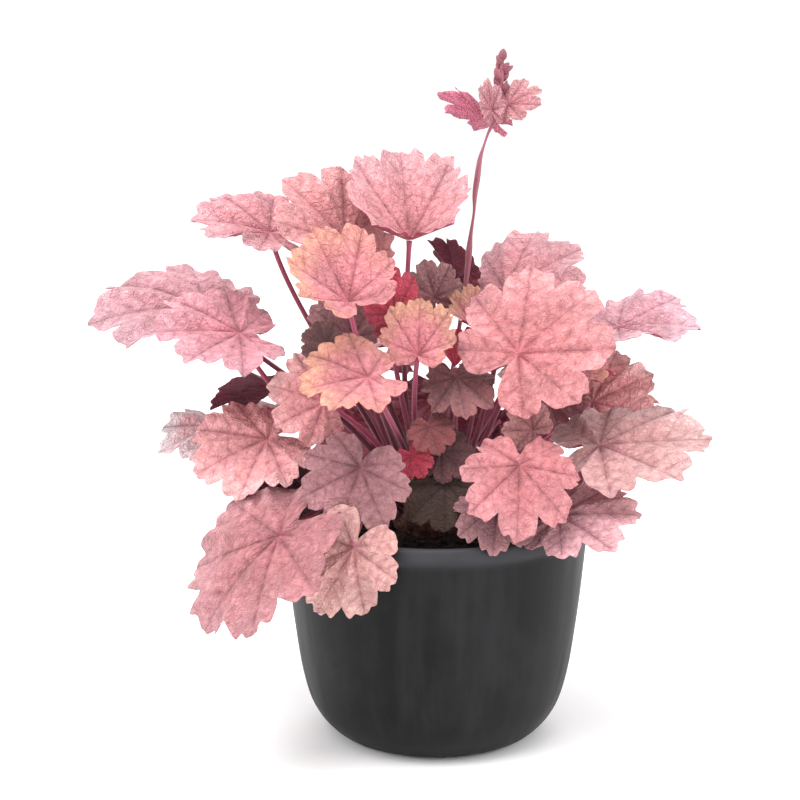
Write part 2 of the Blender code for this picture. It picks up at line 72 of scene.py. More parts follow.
# The rows of leaf_01 to leaf_47, in order: hub, tip, the way its face looks, ring and turn on the crown,
# tint, and its shape.
LEAVES = (
    ((-17, 0, 322), (-23, 49, 341), (0, -0.3, 0.95), 0, 514, "pink",
     dict(cup=0.14, cone=0.64, droop=0, ruffle=0.04, lobe=0.12, wide=0.93, bow=16)),
    ((-105, 10, 325), (-156, 10, 334), (-0.1, -0.38, 0.9), 1, 517, "pink",
     dict(fold=0.22, wide=0.85, bow=-12, lift=-4)),
    ((-56, -7, 319), (-93, -2, 362), (0.2, -0.55, 0.85), 0, 182, "bright", dict(droop=10, fold=0.1)),
    ((-54, -64, 292), (-78, -37, 316), (-0.1, -0.3, 0.95), 1, 224, "orange",
     dict(droop=0, cone=0.5, cup=0.08, wide=0.98, bow=-4, lift=-4)),
    ((-148, 28, 273), (-222, 18, 262), (-0.1, -0.35, 0.93), 2, 504, "pink",
     dict(droop=40, fold=0.15, wide=0.85, bow=12, lift=16)),
    ((-122, -28, 267), (-175, -43, 269), (-0.15, -0.5, 0.85), 2, 184, "pink",
     dict(fold=0.12, wide=0.95, bow=-16)),
    ((-53, -10, 260), (-79, -12, 281), (0, -0.9, 0.45), 1, 177, "mauve", dict(bow=-12)),
    ((-68, -35, 260), (-84, -34, 267), (-0.2, -0.9, 0.3), 1, 209, "dark", dict(stalk=1.1, bow=-8, lift=-8)),
    ((-42, -83, 250), (-82, -93, 243), (0.05, -0.5, 0.86), 1, 243, "orange", dict(fold=0.2)),
    ((-105, -45, 203), (-149, -60, 184), (-0.3, -0.72, 0.63), 2, 198, "rose",
     dict(droop=25, wide=0.95, bow=4)),
    ((-138, 9, 199), (-178, -10, 187), (-0.4, -0.4, 0.85), 2, 527, "mauve",
     dict(droop=25, wide=0.9, bow=-8, lift=-8)),
    ((-99, 16, 225), (-148, 18, 212), (-0.1, 0.45, 0.88), 2, 515, "purple",
     dict(droop=10, wide=0.9, lift=4)),
    ((-95, -101, 157), (-143, -111, 101), (-0.5, -0.6, 0.6), 2, 226, "pink",
     dict(droop=30, wide=0.78, lobe=0.14, hang=0.6, lift=6, bow=4)),
    ((-51, -103, 150), (-73, -106, 110), (0.15, -0.8, 0.55), 2, 250, "rose",
     dict(wide=0.88, hang=1, lift=8)),
    ((-47, -78, 193), (-61, -98, 158), (0.05, -0.9, 0.4), 2, 237, "mauve", dict(droop=15, lobe=0.16)),
    ((-81, -50, 170), (-115, -62, 167), (-0.2, -0.8, 0.55), 2, 210, "purple", dict()),
    ((-5, -55, 213), (1, -66, 198), (0, -0.8, 0.6), 1, 269, "rose", dict(stalk=1, ruffle=0.1)),
    ((-16, -60, 196), (-8, -64, 183), (-0.1, -0.9, 0.4), 2, 264, "crimson", dict(stalk=0.9, bow=8, lift=4)),
    ((5, -58, 178), (-18, -71, 158), (0, -0.85, 0.5), 2, 283, "olive", dict()),
    ((49, -80, 195), (46, -110, 156), (0, -0.85, 0.5), 2, 312, "bright",
     dict(wide=0.92, droop=25, lobe=0.22, bow=-4)),
    ((37, -72, 169), (32, -102, 146), (-0.1, -0.85, 0.5), 2, 302, "mauve", dict(wide=0.9)),
    ((73, -75, 163), (123, -83, 165), (0.22, -0.52, 0.8), 2, 326, "mauve", dict(wide=0.88)),
    ((100, -48, 200), (168, -56, 205), (0.15, -0.35, 0.92), 2, 349, "pink",
     dict(droop=15, wide=0.9, bow=8, lift=-4)),
    ((101, 8, 215), (141, 16, 232), (0.3, -0.7, 0.6), 2, 375, "rose", dict(wide=0.9)),
    ((49, -53, 258), (97, -38, 297), (0.1, -0.72, 0.68), 1, 318, "bright", dict(wide=0.95, lobe=0.2)),
    ((45, 33, 284), (95, 43, 312), (0, -0.38, 0.9), 1, 396, "pink", dict(droop=15, wide=1.02)),
    ((115, 0, 266), (168, -8, 268), (0.1, -0.35, 0.92), 1, 371, "pink", dict(fold=0.2, wide=0.78)),
    ((-12, -39, 255), (-10, -13, 277), (0, -0.3, 0.95), 0, 251, "yellow",
     dict(droop=0, wide=0.88, cone=0.5, bow=8, lift=-4)),
    ((12, -7, 242), (10, -29, 244), (0, 0.1, 1), 0, 325, "crimson", dict(cone=1.25, stalk=1.3, wide=0.95)),
    ((26, 8, 264), (22, 29, 272), (0, -0.3, 0.95), 0, 352, "yellow",
     dict(cup=0.15, cone=0.7, droop=0, stalk=1.2, bow=6)),
    ((-1, 15, 282), (-8, 18, 306), (0, -0.85, 0.5), 0, 450, "mauve", dict()),
    ((-26, -19, 276), (-30, -15, 308), (0.2, -0.9, 0.3), 0, 217, "crimson", dict(wide=0.75)),
    ((12, -32, 239), (17, -63, 219), (0, -0.6, 0.8), 0, 295, "mauve", dict(ruffle=0.09, wide=0.8)),
    ((59, -46, 209), (43, -48, 224), (-0.1, -0.8, 0.5), 2, 338, "rose", dict(ruffle=0.12, stalk=1.1)),
    ((78, -30, 241), (112, -32, 239), (0, 0.1, 0.97), 1, 339, "orange", dict(ruffle=0.08, stalk=1.1)),
    ((-70, -36, 224), (-104, -45, 238), (-0.15, -0.85, 0.5), 1, 195, "rose", dict(bow=-4, lift=16)),
    ((2, -53, 198), (18, -59, 183), (0.1, -0.9, 0.4), 1, 283, "dark", dict(stalk=1, lift=8)),
    ((14, 41, 289), (-3, 45, 317), (0.5, 0.7, 0.35), 0, 420, "purple",
     dict(stalk=1.1, fold=0.5, wide=0.6, bow=-9)),
    ((70, -3, 222), (99, 3, 228), (0.1, -0.85, 0.5), 1, 358, "purple", dict(bow=8)),
    ((95, 56.5, 209), (146, 86.5, 201), (0.45, 0.3, 0.85), 2, 397, "rose", dict()),
    ((44, 64, 190), (52, 94, 146), (0.1, 0.85, 0.5), 2, 419, "pink", dict(wide=0.9, hang=0.6)),
    ((2, 98, 200), (2, 128, 154), (0, 0.85, 0.5), 2, 444, "rose", dict(hang=0.5)),
    ((-41, 66, 191), (-45, 99, 151), (0, 0.85, 0.5), 2, 469, "pink", dict(wide=0.75, hang=0.6)),
    ((-98, 53.5, 200), (-142, 83.5, 188), (-0.4, 0.2, 0.88), 2, 493, "mauve", dict(wide=0.88)),
    ((52, 51, 232), (95, 88, 228), (0.2, 0.2, 0.95), 1, 415, "pink", dict()),
    ((2, 59.5, 243), (-2, 117.5, 239), (0, 0.2, 0.98), 1, 449, "bright", dict()),
    ((-46, 52, 233), (-80, 88, 221), (-0.2, 0.55, 0.8), 1, 485, "pink", dict()),
)

# The stem's points with its radius there, then the buds and the bract leaves on it.
STEM = (
    ((0, 0, 153.4), 2.2), ((2, 5, 176), 1.9), ((8, 16, 214), 1.6), ((18, 27, 278.5), 1.4),
    ((20.5, 30, 297.5), 1.8), ((21.5, 30, 310), 2.1), ((22.5, 30, 320.5), 1.3), ((24.5, 30, 335), 0.9),
    ((25, 30, 346.5), 1.7), ((26.5, 30, 358), 2), ((28, 30, 369), 1.5), ((30.5, 30, 377.5), 0.8),
    ((33, 30, 385), 0.9), ((37, 30, 393.5), 1.5), ((40, 30, 400.5), 2), ((40.5, 30, 411.5), 1.8),
    ((41, 30, 420), 1.6), ((41.5, 30, 429), 1.2), ((42, 30, 433), 0.8),
)

BUDS = (
    ((42, 30, 434.5), (0.1, 0, 1), 2.8, 4),
    ((39.5, 29, 431.5), (-0.5, 0, 1), 1.8, 3.2),
    ((43.5, 30, 427), (0.8, 0, 0.8), 2, 3.8),
    ((45.5, 31, 425.5), (0.9, 0.2, 0.6), 1.7, 4),
    ((38.5, 28, 422.5), (-0.35, -0.2, 1), 2.2, 4.4),
    ((38, 29, 417), (-0.35, 0, 1), 1.7, 4.2),
    ((44, 32, 421.5), (0.45, 0.2, 1), 2, 4.4),
    ((43.5, 29, 415), (0.35, -0.1, 1), 1.5, 4),
    ((39.5, 32, 428), (-0.2, 0.3, 1), 2, 3.4),
)

BRACTS = (
    ((33, 36, 395.5), (1, 35, 410.5), (-0.1, 0.6, 0.75), (37, 30.5, 391),
     dict(wide=0.5, lobe=0.34, stalk=0.9, droop=10, ruffle=0.06)),
    ((35, 20, 400.5), (30, 14, 419.5), (-0.45, -0.8, 0.3), (38.5, 29.5, 397.5),
     dict(wide=0.56, lobe=0.2, stalk=0.8, droop=-15)),
    ((45.5, 26, 404), (67.5, 31, 414.5), (0.05, -0.78, 0.62), (40, 30, 400),
     dict(wide=0.7, lobe=0.28, stalk=0.9, droop=25, ruffle=0.06)),
)

print(len(LEAVES), "leaves,", len(BUDS), "buds,", len(BRACTS), "bract leaves")

# %% [markdown]
# ## Filling a mesh
#
# A surface is a grid of points, worked out as whole arrays. A grid that closes on itself in one or both
# directions has faces that wrap back to its first row or column. `foreach_set` hands the arrays to
# Blender in one go, which takes no time even for a million corners.


# %% Grids and meshes
def unit(v):
    """The vector made 1 long."""
    return v / np.linalg.norm(v)


def grid_quads(rows, columns, start=0, wrap=True):
    """Faces of a grid whose points run row by row. With wrap, the last column joins the first."""
    across = np.arange(columns if wrap else columns - 1)
    down = np.arange(rows - 1)[:, None]
    a = down * columns + across
    b = down * columns + (across + 1) % columns
    return start + np.stack([a, b, b + columns, a + columns], axis=-1).reshape(-1, 4)


def fan(centre, ring, flip=False):
    """Triangles from one centre point to a closed ring of points."""
    first, second = (np.roll(ring, -1), ring) if flip else (ring, np.roll(ring, -1))
    return np.stack([np.full(len(ring), centre), first, second], axis=-1)


def tube_faces(rings, sides):
    """Quads and end fans of a tube of rings whose two end points come after all the ring points."""
    n = rings * sides
    ends = np.vstack([fan(n, np.arange(sides), flip=True), fan(n + 1, np.arange(n - sides, n))])
    return grid_quads(rings, sides), ends


def turns_round(sides):
    """Evenly spaced angles of a whole turn."""
    return np.arange(sides) * 2 * np.pi / sides


def run_along(path):
    """Length of a path from its first point to each of its points."""
    return np.concatenate([[0], np.cumsum(np.linalg.norm(np.diff(path, axis=0), axis=1))])


def smooth_step(low, high, x):
    """0 below low, 1 above high, and the curve 3t^2 - 2t^3 between them."""
    t = np.clip((x - low) / (high - low), 0, 1)
    return t * t * (3 - 2 * t)


def make_piece(name, points, quads, triangles, materials, face_material=None, uv=None, tint=None):
    """One object at the origin. uv holds corner values by map name, and tint a colour for each point."""
    mesh = bpy.data.meshes.new(name)
    sizes = np.concatenate([np.full(len(quads), 4), np.full(len(triangles), 3)])
    corners = np.concatenate([np.ravel(quads), np.ravel(triangles)]).astype(np.int32)
    mesh.vertices.add(len(points))
    mesh.vertices.foreach_set("co", (np.asarray(points, np.float32) * MM).ravel())
    mesh.loops.add(len(corners))
    mesh.loops.foreach_set("vertex_index", corners)
    mesh.polygons.add(len(sizes))
    mesh.polygons.foreach_set("loop_start", np.concatenate([[0], np.cumsum(sizes)[:-1]]).astype(np.int32))
    if face_material is not None:
        mesh.polygons.foreach_set("material_index", np.asarray(face_material, np.int32))
    for map_name, values in (uv or {}).items():
        mesh.uv_layers.new(name=map_name).uv.foreach_set("vector", np.asarray(values, np.float32).ravel())
    if tint is not None:
        colours = np.concatenate([tint, np.ones((len(tint), 1))], axis=1).astype(np.float32)
        mesh.color_attributes.new("tint", "FLOAT_COLOR", "POINT").data.foreach_set("color", colours.ravel())
    mesh.polygons.foreach_set("use_smooth", np.ones(len(sizes), bool))
    mesh.update(calc_edges=True)
    mesh.validate()
    for material in materials:
        mesh.materials.append(material)
    made = bpy.data.objects.new(name, mesh)
    bpy.context.scene.collection.objects.link(made)
    return made


def place(piece, node):
    """The piece rides on the plant's one body and stands for its solid, which is hidden."""
    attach(piece, "root")
    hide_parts(node)


print("a ring of 8 points closes with a fan of", len(fan(8, np.arange(8))), "triangles")

# %% [markdown]
# ## The outline of a blade
#
# A heuchera leaf is nearly round. Seven main veins spread from the hub, one to a lobe. Written in polar
# form, the edge is a product of three things: how far the lobe's size has fallen off towards the back,
# the notch between two lobes, and the teeth. The fine leaf adds small uneven teeth to the same curve.


# %% Outline
def lobe_of(angle):
    """The number of the lobe that each angle falls in, from 0 to 6."""
    return np.clip(np.searchsorted(NOTCHES, angle, side="right") - 1, 0, LOBES - 1)


def nearest_vein(angle):
    """For each angle: how far it lies from its vein towards the notch, from -1 to 1."""
    k = lobe_of(angle)
    vein, low, high = VEINS[k], NOTCHES[k], NOTCHES[k + 1]
    return np.where(angle >= vein, (angle - vein) / (high - vein), (angle - vein) / (vein - low))


def outline(angle, lobe):
    """Distance from hub to edge, as a share of the blade's length. Lobes narrow towards the sinus,
    and each lobe carries three rounded teeth."""
    x, away = nearest_vein(angle), np.abs(angle)
    size = 0.55 + 0.45 * np.cos(np.radians(away) / 2) ** 2
    sinus = smooth_step(148, 180, away)
    size = size * (1 - sinus) + 0.16 * sinus
    notch = 1 - np.where(away > 128, 0.10, lobe) * np.abs(x) ** 2.6
    teeth = 1 - 0.06 * (1 - np.abs(np.cos(np.pi * x * 1.5))) * np.where(away > 160, 0.2, 1)
    return size * notch * teeth


def fine_outline(angle, lobe, chance):
    """The outline with small pointed teeth: a saw that rises slowly and falls fast, and whose depth
    wanders from tooth to tooth."""
    phase = np.interp(angle, NOTCHES, np.arange(LOBES + 1)) * TEETH + chance.uniform(0, 1)
    wander = np.interp(phase % 37, np.arange(38), chance.uniform(0.35, 1.0, 38))
    beat = phase % 1
    saw = np.minimum(beat / SAW_TOP, (1 - beat) / (1 - SAW_TOP))
    quiet = 1 - smooth_step(150, 172, np.abs(angle))
    return outline(angle, lobe) * (1 + 0.045 * (saw - 0.55) * wander * quiet)


print("a blade reaches", np.round(outline(np.array([0.0, 42, 84, 128, 180]), 0.17), 2), "of its length")

# %% [markdown]
# ## The surface of a blade
#
# The blade is a height field over its own plane, and the plane is rolled over an arc so that the tip
# droops. The main veins run in valleys and the edge waves. Between the side veins the leaf of a
# heuchera is quilted: it swells up a little in each field, and that catches the light. A displacement
# texture could do it too, but a formula follows the veins, and the material can use the same one.


# %% Leaf
class Leaf:
    """The axes and the bends of one leaf, worked out from its row in the table."""

    def __init__(self, hub, tip, face, droop=20, cup=0, cone=0, fold=0, ruffle=0.05, wide=1, lobe=0.17,
                 stalk=1.5, seed=0, **path):
        """The axes lie along, across and square to the blade, tilted back by half the droop, so that the
        rolled blade ends at its tip."""
        self.hub = np.array(hub, float)
        along = np.array(tip, float) - self.hub
        length = np.linalg.norm(along)
        t = along / length
        n = unit(np.array(face, float) - np.dot(face, t) * t)
        self.side = np.cross(n, t)
        half = np.radians(droop) / 2
        self.t0 = np.cos(half) * t + np.sin(half) * n
        self.n0 = np.cos(half) * n - np.sin(half) * t
        self.length = length * (half / np.sin(half) if half else 1)
        self.bend = max(np.radians(droop) / self.length, 1e-9)
        self.cup, self.cone, self.fold, self.ruffle = cup, cone, fold, ruffle
        self.wide, self.lobe, self.stalk, self.path = wide, lobe, stalk, path
        chance = np.random.default_rng(SHAPE_SEED + seed)
        self.wave_turn = chance.uniform(0, 2 * np.pi, 3)
        self.wave_size = chance.uniform(0.6, 1.0, 3) * (0.5, 0.8, 0.6)
        self.chance = chance

    def surface(self, reach, angle, lift):
        """Points of the blade: reach is the distance from the hub in mm, angle is from the middle vein, and
        lift is the height over the upper face. Height grows as a cup with the square of the reach, as a cone
        and a fold with the reach, dips along the veins, and waves most at the edge."""
        turn = np.radians(angle)
        a, b = reach * np.cos(turn), reach * np.sin(turn) * self.wide
        share = np.minimum(reach / (outline(angle, self.lobe) * self.length), 1)
        q = reach / self.length
        height = self.cup * self.length * q**2 + self.cone * reach
        height += self.fold * np.abs(b) * np.minimum(1, 2 * q)
        pleat = 0.1 * np.where(np.abs(angle) > 128, 0.5, 1)
        height += pleat * self.length * q * (np.abs(nearest_vein(angle)) ** 1.5 - 0.5)
        wave = sum(s * np.cos(m * turn + p) for s, m, p in zip(self.wave_size, (2, 3, 5), self.wave_turn))
        height += self.ruffle * self.length * wave * share**2 * np.where(np.abs(angle) > 150, 0.4, 1) + lift
        bend = np.where(a > 0, self.bend, self.bend / 2)
        arc = bend * a
        sine, cosine, bend = np.sin(arc)[:, None], np.cos(arc)[:, None], bend[:, None]
        base = self.hub + sine / bend * self.t0 - (1 - cosine) / bend * self.n0
        up = cosine * self.n0 + sine * self.t0
        return base + b[:, None] * self.side + height[:, None] * up


def vein_place(reach, angle, vein):
    """(along, across) of a point, in mm, measured from the vein of its lobe."""
    off = np.radians(angle - vein)
    return reach * np.cos(off), reach * np.sin(off)


def quilting(reach, angle, share, length):
    """Height of the fine relief in mm: valleys over the main veins, and a swelling in each field between
    the side veins, which leave the main vein forwards like the barbs of a feather."""
    along, across = vein_place(reach, angle, VEINS[lobe_of(angle)])
    valley = -0.55 * np.exp(-(across / 1.3) ** 2) * (1 - 0.6 * share)
    barbs = (along - BARB_SLOPE * np.abs(across)) / (SPACING * length) + STAGGER * (across > 0)
    fields = np.abs(np.sin(np.pi * barbs)) ** 0.7
    room = smooth_step(0.6, 4, np.abs(across)) * smooth_step(0.08, 0.3, share) * (1 - 0.5 * share)
    return valley + QUILT * length * (fields - 0.6) * room


def side_turns(count):
    """Angles round a blade, `count` of them to each of its seven lobes."""
    return np.interp(np.arange(LOBES * count) / count, np.arange(LOBES + 1), NOTCHES)


print("the quilting of a 60 mm blade is", round(QUILT * 60, 1), "mm deep")

# %% [markdown]
# ## The stalk
#
# The stalk is a tube carried along a curve from the underside of the hub down to the crown. It is thicker
# at its foot, where it sheathes the crown, and has faint ribs. The curve is a cubic with two pull points,
# one for each end. A bevelled curve could stand in for the tube, but ribs would need a drawn section. Each
# ring of the tube is turned as little as possible from the ring before it, so that no ring twists.


# %% Stalk
def stalk_path(leaf, root, out):
    """A smooth curve from the underside of the hub down to the root, which it reaches against `out`."""
    bow, lift, hang = (leaf.path.get(k, 0) for k in ("bow", "lift", "hang"))
    top = leaf.hub - BLADE / 2 * leaf.n0
    far = np.linalg.norm(top - root)
    side = unit(np.cross(top - root, (0, 0, 1))) * bow
    arrive = unit(0.85 * leaf.n0 + 0.45 * leaf.t0 - np.array((0, 0, hang)))
    low = root + out * far * 0.34 + side + np.array((0, 0, lift))
    high = top - arrive * min(far * 0.36, 45) + side * 0.6 + np.array((0, 0, lift * 0.6))
    s = np.linspace(1, 0, 60)[:, None]
    return (1 - s) ** 3 * root + 3 * (1 - s) ** 2 * s * low + 3 * (1 - s) * s**2 * high + s**3 * top


def tube(path, shares, radii, sides, start, ribs=0.0):
    """A closed tube along a path: rings square to it, and a point in the middle of each end. The radius
    swells by `ribs` five times round. Gives points, quads, triangles and each point's (share, turn)."""
    run, turn = run_along(path), turns_round(sides)
    step = max(run[-1] * 0.01, 0.5)
    at = np.clip(np.asarray(shares) * run[-1], 0, run[-1])

    def on_path(far):
        """Points of the path at these lengths along it."""
        return np.stack([np.interp(np.clip(far, 0, run[-1]), run, path[:, i]) for i in range(3)], -1)

    middle = on_path(at)
    ways = on_path(at + step) - on_path(at - step)
    u, rings = start, []
    for centre, way, radius in zip(middle, ways, radii):
        t = unit(way)
        u = unit(u - (u @ t) * t)
        w = np.cross(t, u)
        r = (radius * (1 + ribs * np.cos(5 * turn)))[:, None]
        rings.append(centre + r * (np.cos(turn)[:, None] * u + np.sin(turn)[:, None] * w))
    points = np.vstack(rings + [middle[:1], middle[-1:]])
    place_uv = np.stack([np.repeat(at / 10, sides), np.tile(turn / (2 * np.pi), len(rings))], -1)
    place_uv = np.vstack([place_uv, place_uv[:1], place_uv[-1:]])
    return points, *tube_faces(len(rings), sides), place_uv


def root_of(ring, turn):
    """Where a stalk stands on the crown, and the direction in which it starts."""
    radius, height, outward, upward = RINGS[ring]
    side = np.array((np.cos(np.radians(turn)), np.sin(np.radians(turn)), 0))
    out = outward * side + np.array((0, 0, upward))
    return radius * side + np.array((0, 0, height)) + 0.6 * out, out


print("the stalks stand in rings of", [ring[0] for ring in RINGS], "mm radius")


# %% [markdown]
# ## One whole leaf
#
# The blade has two faces that meet in a rounded margin. Both are the same polar grid, one lifted and one
# lowered. The finished leaf carries two maps. `flat` is the blade laid flat in centimetres, for patterns
# that cover it. `vein` is measured from the vein of each lobe, as shares of the blade's length, so that a
# material can draw the main vein and its side veins as lines. Each corner of a face takes the vein of its
# own lobe.


# %% Leaf mesh
def leaf_arrays(leaf, root, out):
    """Points, quads, triangles, face materials, corner maps, edge shares and angles of a leaf. Face
    materials: 0 upper face, 1 underside, 2 stalk."""
    count = COLUMNS if leaf.length > SMALL_LEAF else SMALL_COLUMNS
    angle = side_turns(count)
    rows = int(np.clip(leaf.length / 2.5, 8, 24))
    share = np.linspace(0, 1, rows + 1)[1:] ** 0.85
    edge = fine_outline(angle, leaf.lobe, leaf.chance) * leaf.length
    reach = (share[:, None] * edge).ravel()
    turn = np.tile(angle, rows)
    part = np.repeat(share, len(angle))
    around = np.radians(turn)
    frill = np.cos(around * 14 + leaf.wave_turn[0]) + 0.7 * np.cos(around * 23 + leaf.wave_turn[1])
    frill = 0.02 * leaf.length * frill * part**3
    relief = quilting(reach, turn, part, leaf.length) * min(leaf.length / 40, 1) + frill
    across = vein_place(reach, turn, VEINS[lobe_of(turn)])[1]
    rib = 0.7 * np.exp(-(across / 0.9) ** 2) * (1 - part) ** 0.7
    half = 0.4 - 0.24 * part**3
    top = leaf.surface(reach, turn, relief - MARGIN + half)
    low = leaf.surface(reach, turn, relief - MARGIN - half - rib)
    rim = leaf.surface(edge * 1.004, angle, relief[-len(angle):] - MARGIN)
    hub = leaf.surface(np.zeros(2), np.zeros(2), np.array([-0.35, -BLADE]))
    n, c = rows * len(angle), len(angle)
    points = np.vstack([top, low, rim, hub])
    last, rim_ring = np.arange(n - c, n), 2 * n + np.arange(c)
    to_rim = np.stack([last, np.roll(last, -1), np.roll(rim_ring, -1), rim_ring], -1)
    from_rim = np.stack([rim_ring, np.roll(rim_ring, -1), n + np.roll(last, -1), n + last], -1)
    upper, lower = grid_quads(rows, c)[:, ::-1], grid_quads(rows, c, n)
    quads = np.vstack([upper, lower, to_rim[:, ::-1], from_rim[:, ::-1]])
    caps = np.vstack([fan(2 * n + c, np.arange(c)), fan(2 * n + c + 1, n + np.arange(c), flip=True)])

    path = stalk_path(leaf, root, out)
    long = run_along(path)[-1]
    shares = np.linspace(min(1.3 / long, 0.3), 1, int(np.clip(long / 3.5, 6, 44)))
    flare = 1 + 0.45 * np.exp(-shares * long / 3)
    stalk, stalk_quads, stalk_ends, stalk_uv = tube(
        path, shares, leaf.stalk * (1 + 0.35 * shares) * flare, STALK_SIDES, leaf.t0, ribs=0.05)
    stalk_quads, stalk_ends = stalk_quads + len(points), stalk_ends + len(points)

    none = np.zeros(2 + len(stalk))
    reach_all = np.concatenate([reach, reach, edge, none])
    turn_all = np.concatenate([turn, turn, angle, none])
    part_all = np.concatenate([part, part, np.ones(c), none])
    flat_uv = np.stack(vein_place(reach_all, turn_all, 0), -1) / 10
    flat_uv[-len(stalk):] = stalk_uv
    blade_faces = (len(upper), len(lower), len(to_rim), len(from_rim))
    lobes = np.repeat(np.arange(LOBES), c // LOBES)
    quad_vein = np.concatenate([np.tile(lobes, 2 * rows), np.zeros(len(stalk_quads), int)])
    cap_vein = np.concatenate([lobes, lobes, np.zeros(len(stalk_ends), int)])
    quads = np.vstack([quads, stalk_quads])
    triangles = np.vstack([caps, stalk_ends])
    corners = np.concatenate([quads.ravel(), triangles.ravel()])
    corner_vein = VEINS[np.concatenate([np.repeat(quad_vein, 4), np.repeat(cap_vein, 3)])]
    vein_uv = np.stack(vein_place(reach_all[corners], turn_all[corners], corner_vein), -1) / leaf.length
    kinds = np.repeat([0, 1, 0, 1, 2, 0, 1, 2], (*blade_faces, len(stalk_quads), c, c, len(stalk_ends)))
    maps = {"flat": flat_uv[corners], "vein": vein_uv}
    return np.vstack([points, stalk]), quads, triangles, kinds, maps, part_all, turn_all


print("a large blade has", LOBES * COLUMNS, "points round its edge, a small one", LOBES * SMALL_COLUMNS)


# %% [markdown]
# ## Nodes for a finish
#
# A finish is a small graph of nodes round one shader. Small helpers keep the graphs readable: one adds a
# node and joins its inputs, and the others do arithmetic, ramps, mixes, noise and relief with it. A colour
# that is the same everywhere is set on the shader itself.


# %% Node helpers
def linear(*byte_values):
    """Linear light from the 0 to 255 values of a screen colour, by the plain power of 2.2."""
    return np.array([(v / 255) ** 2.2 for v in byte_values])


def finish_of(name, roughness, **sockets):
    """A new material with these values on its shader. Gives the material, its tree and its shader."""
    material = bpy.data.materials.new(name)
    material.use_nodes = True
    tree = material.node_tree
    shader = tree.nodes["Principled BSDF"]
    shader.inputs["Roughness"].default_value = roughness
    for socket, value in sockets.items():
        shader.inputs[socket.replace("_", " ")].default_value = value
    return material, tree, shader


def add(tree, kind, inputs=None, **settings):
    """A node with its settings and inputs. An input is a number, a colour or another node's output."""
    node = tree.nodes.new(kind)
    for key, value in settings.items():
        setattr(node, key, value)
    for key, value in (inputs or {}).items():
        if isinstance(value, bpy.types.NodeSocket):
            tree.links.new(value, node.inputs[key])
        else:
            node.inputs[key].default_value = value
    return node


def maths(tree, operation, *values):
    """The output of a Math node on one, two or three values."""
    return add(tree, "ShaderNodeMath", dict(enumerate(values)), operation=operation).outputs[0]


def ramp(tree, value, low, high, at_low=0.0, at_high=1.0):
    """A smooth change from at_low to at_high as value goes from low to high."""
    inputs = {"Value": value, "From Min": low, "From Max": high, "To Min": at_low, "To Max": at_high}
    return add(tree, "ShaderNodeMapRange", inputs, interpolation_type="SMOOTHSTEP").outputs[0]


def mix(tree, amount, first, second, blend="MIX"):
    """One colour over another. Inputs 6 and 7 are the node's colours."""
    node = add(tree, "ShaderNodeMix", {0: amount, 6: first, 7: second}, data_type="RGBA", blend_type=blend)
    return node.outputs[2]


def times(tree, *values):
    """The product of two or more values."""
    found = values[0]
    for value in values[1:]:
        found = maths(tree, "MULTIPLY", found, value)
    return found


def plus(tree, first, second):
    """The sum of two values."""
    return maths(tree, "ADD", first, second)


def noise(tree, vector, scale, detail=3.0, roughness=0.5):
    """Soft noise from 0 to 1, about one patch to each 1/scale of the vector's unit."""
    inputs = {"Vector": vector, "Scale": scale, "Detail": detail, "Roughness": roughness}
    return add(tree, "ShaderNodeTexNoise", inputs).outputs["Fac"]


def bump(tree, shader, height, distance, strength):
    """Relief in the shading alone. The distance is in metres."""
    inputs = {"Height": height, "Distance": distance, "Strength": strength}
    tree.links.new(add(tree, "ShaderNodeBump", inputs).outputs[0], shader.inputs["Normal"])


print("a screen grey of 128 is", round(float(linear(128)[0]), 3), "in linear light")


# %% [markdown]
# ## The skin of a leaf
#
# The veins of a heuchera are drawn on three scales. The main vein is the line where the `vein` map's
# across value is zero. The side veins are the lines where along minus a share of across is a whole number
# of spacings, the same rule that shapes the quilting. Between them a pattern of cells on the `flat` map
# gives the fine net, and the leaf swells a little in each of its cells. A dark smear with ragged ends lies
# along the main and side veins: it is partly their own darker colour, and partly painted shade in the folds
# where the leaf dips down to them. On the upper face the veins are darker and sunk. Underneath they stand
# proud. A painted image could show all this, but it would have to be made for each leaf, and lines from a
# map stay sharp at any distance.


# %% Leaf finishes
def centred(tree, flat, scale, detail, size):
    """Noise about zero, from -size / 2 to size / 2."""
    return times(tree, maths(tree, "SUBTRACT", noise(tree, flat, scale, detail), 0.5), size)


def lines_near(tree, distance, low, high):
    """1 where the distance is under low, falling to 0 at high."""
    return maths(tree, "SUBTRACT", 1.0, ramp(tree, distance, low, high))


def net_edges(tree, vector, scale):
    """Distance to the nearest edge in a pattern of cells round scattered points."""
    inputs = {"Vector": vector, "Scale": scale}
    return add(tree, "ShaderNodeTexVoronoi", inputs, feature="DISTANCE_TO_EDGE").outputs["Distance"]


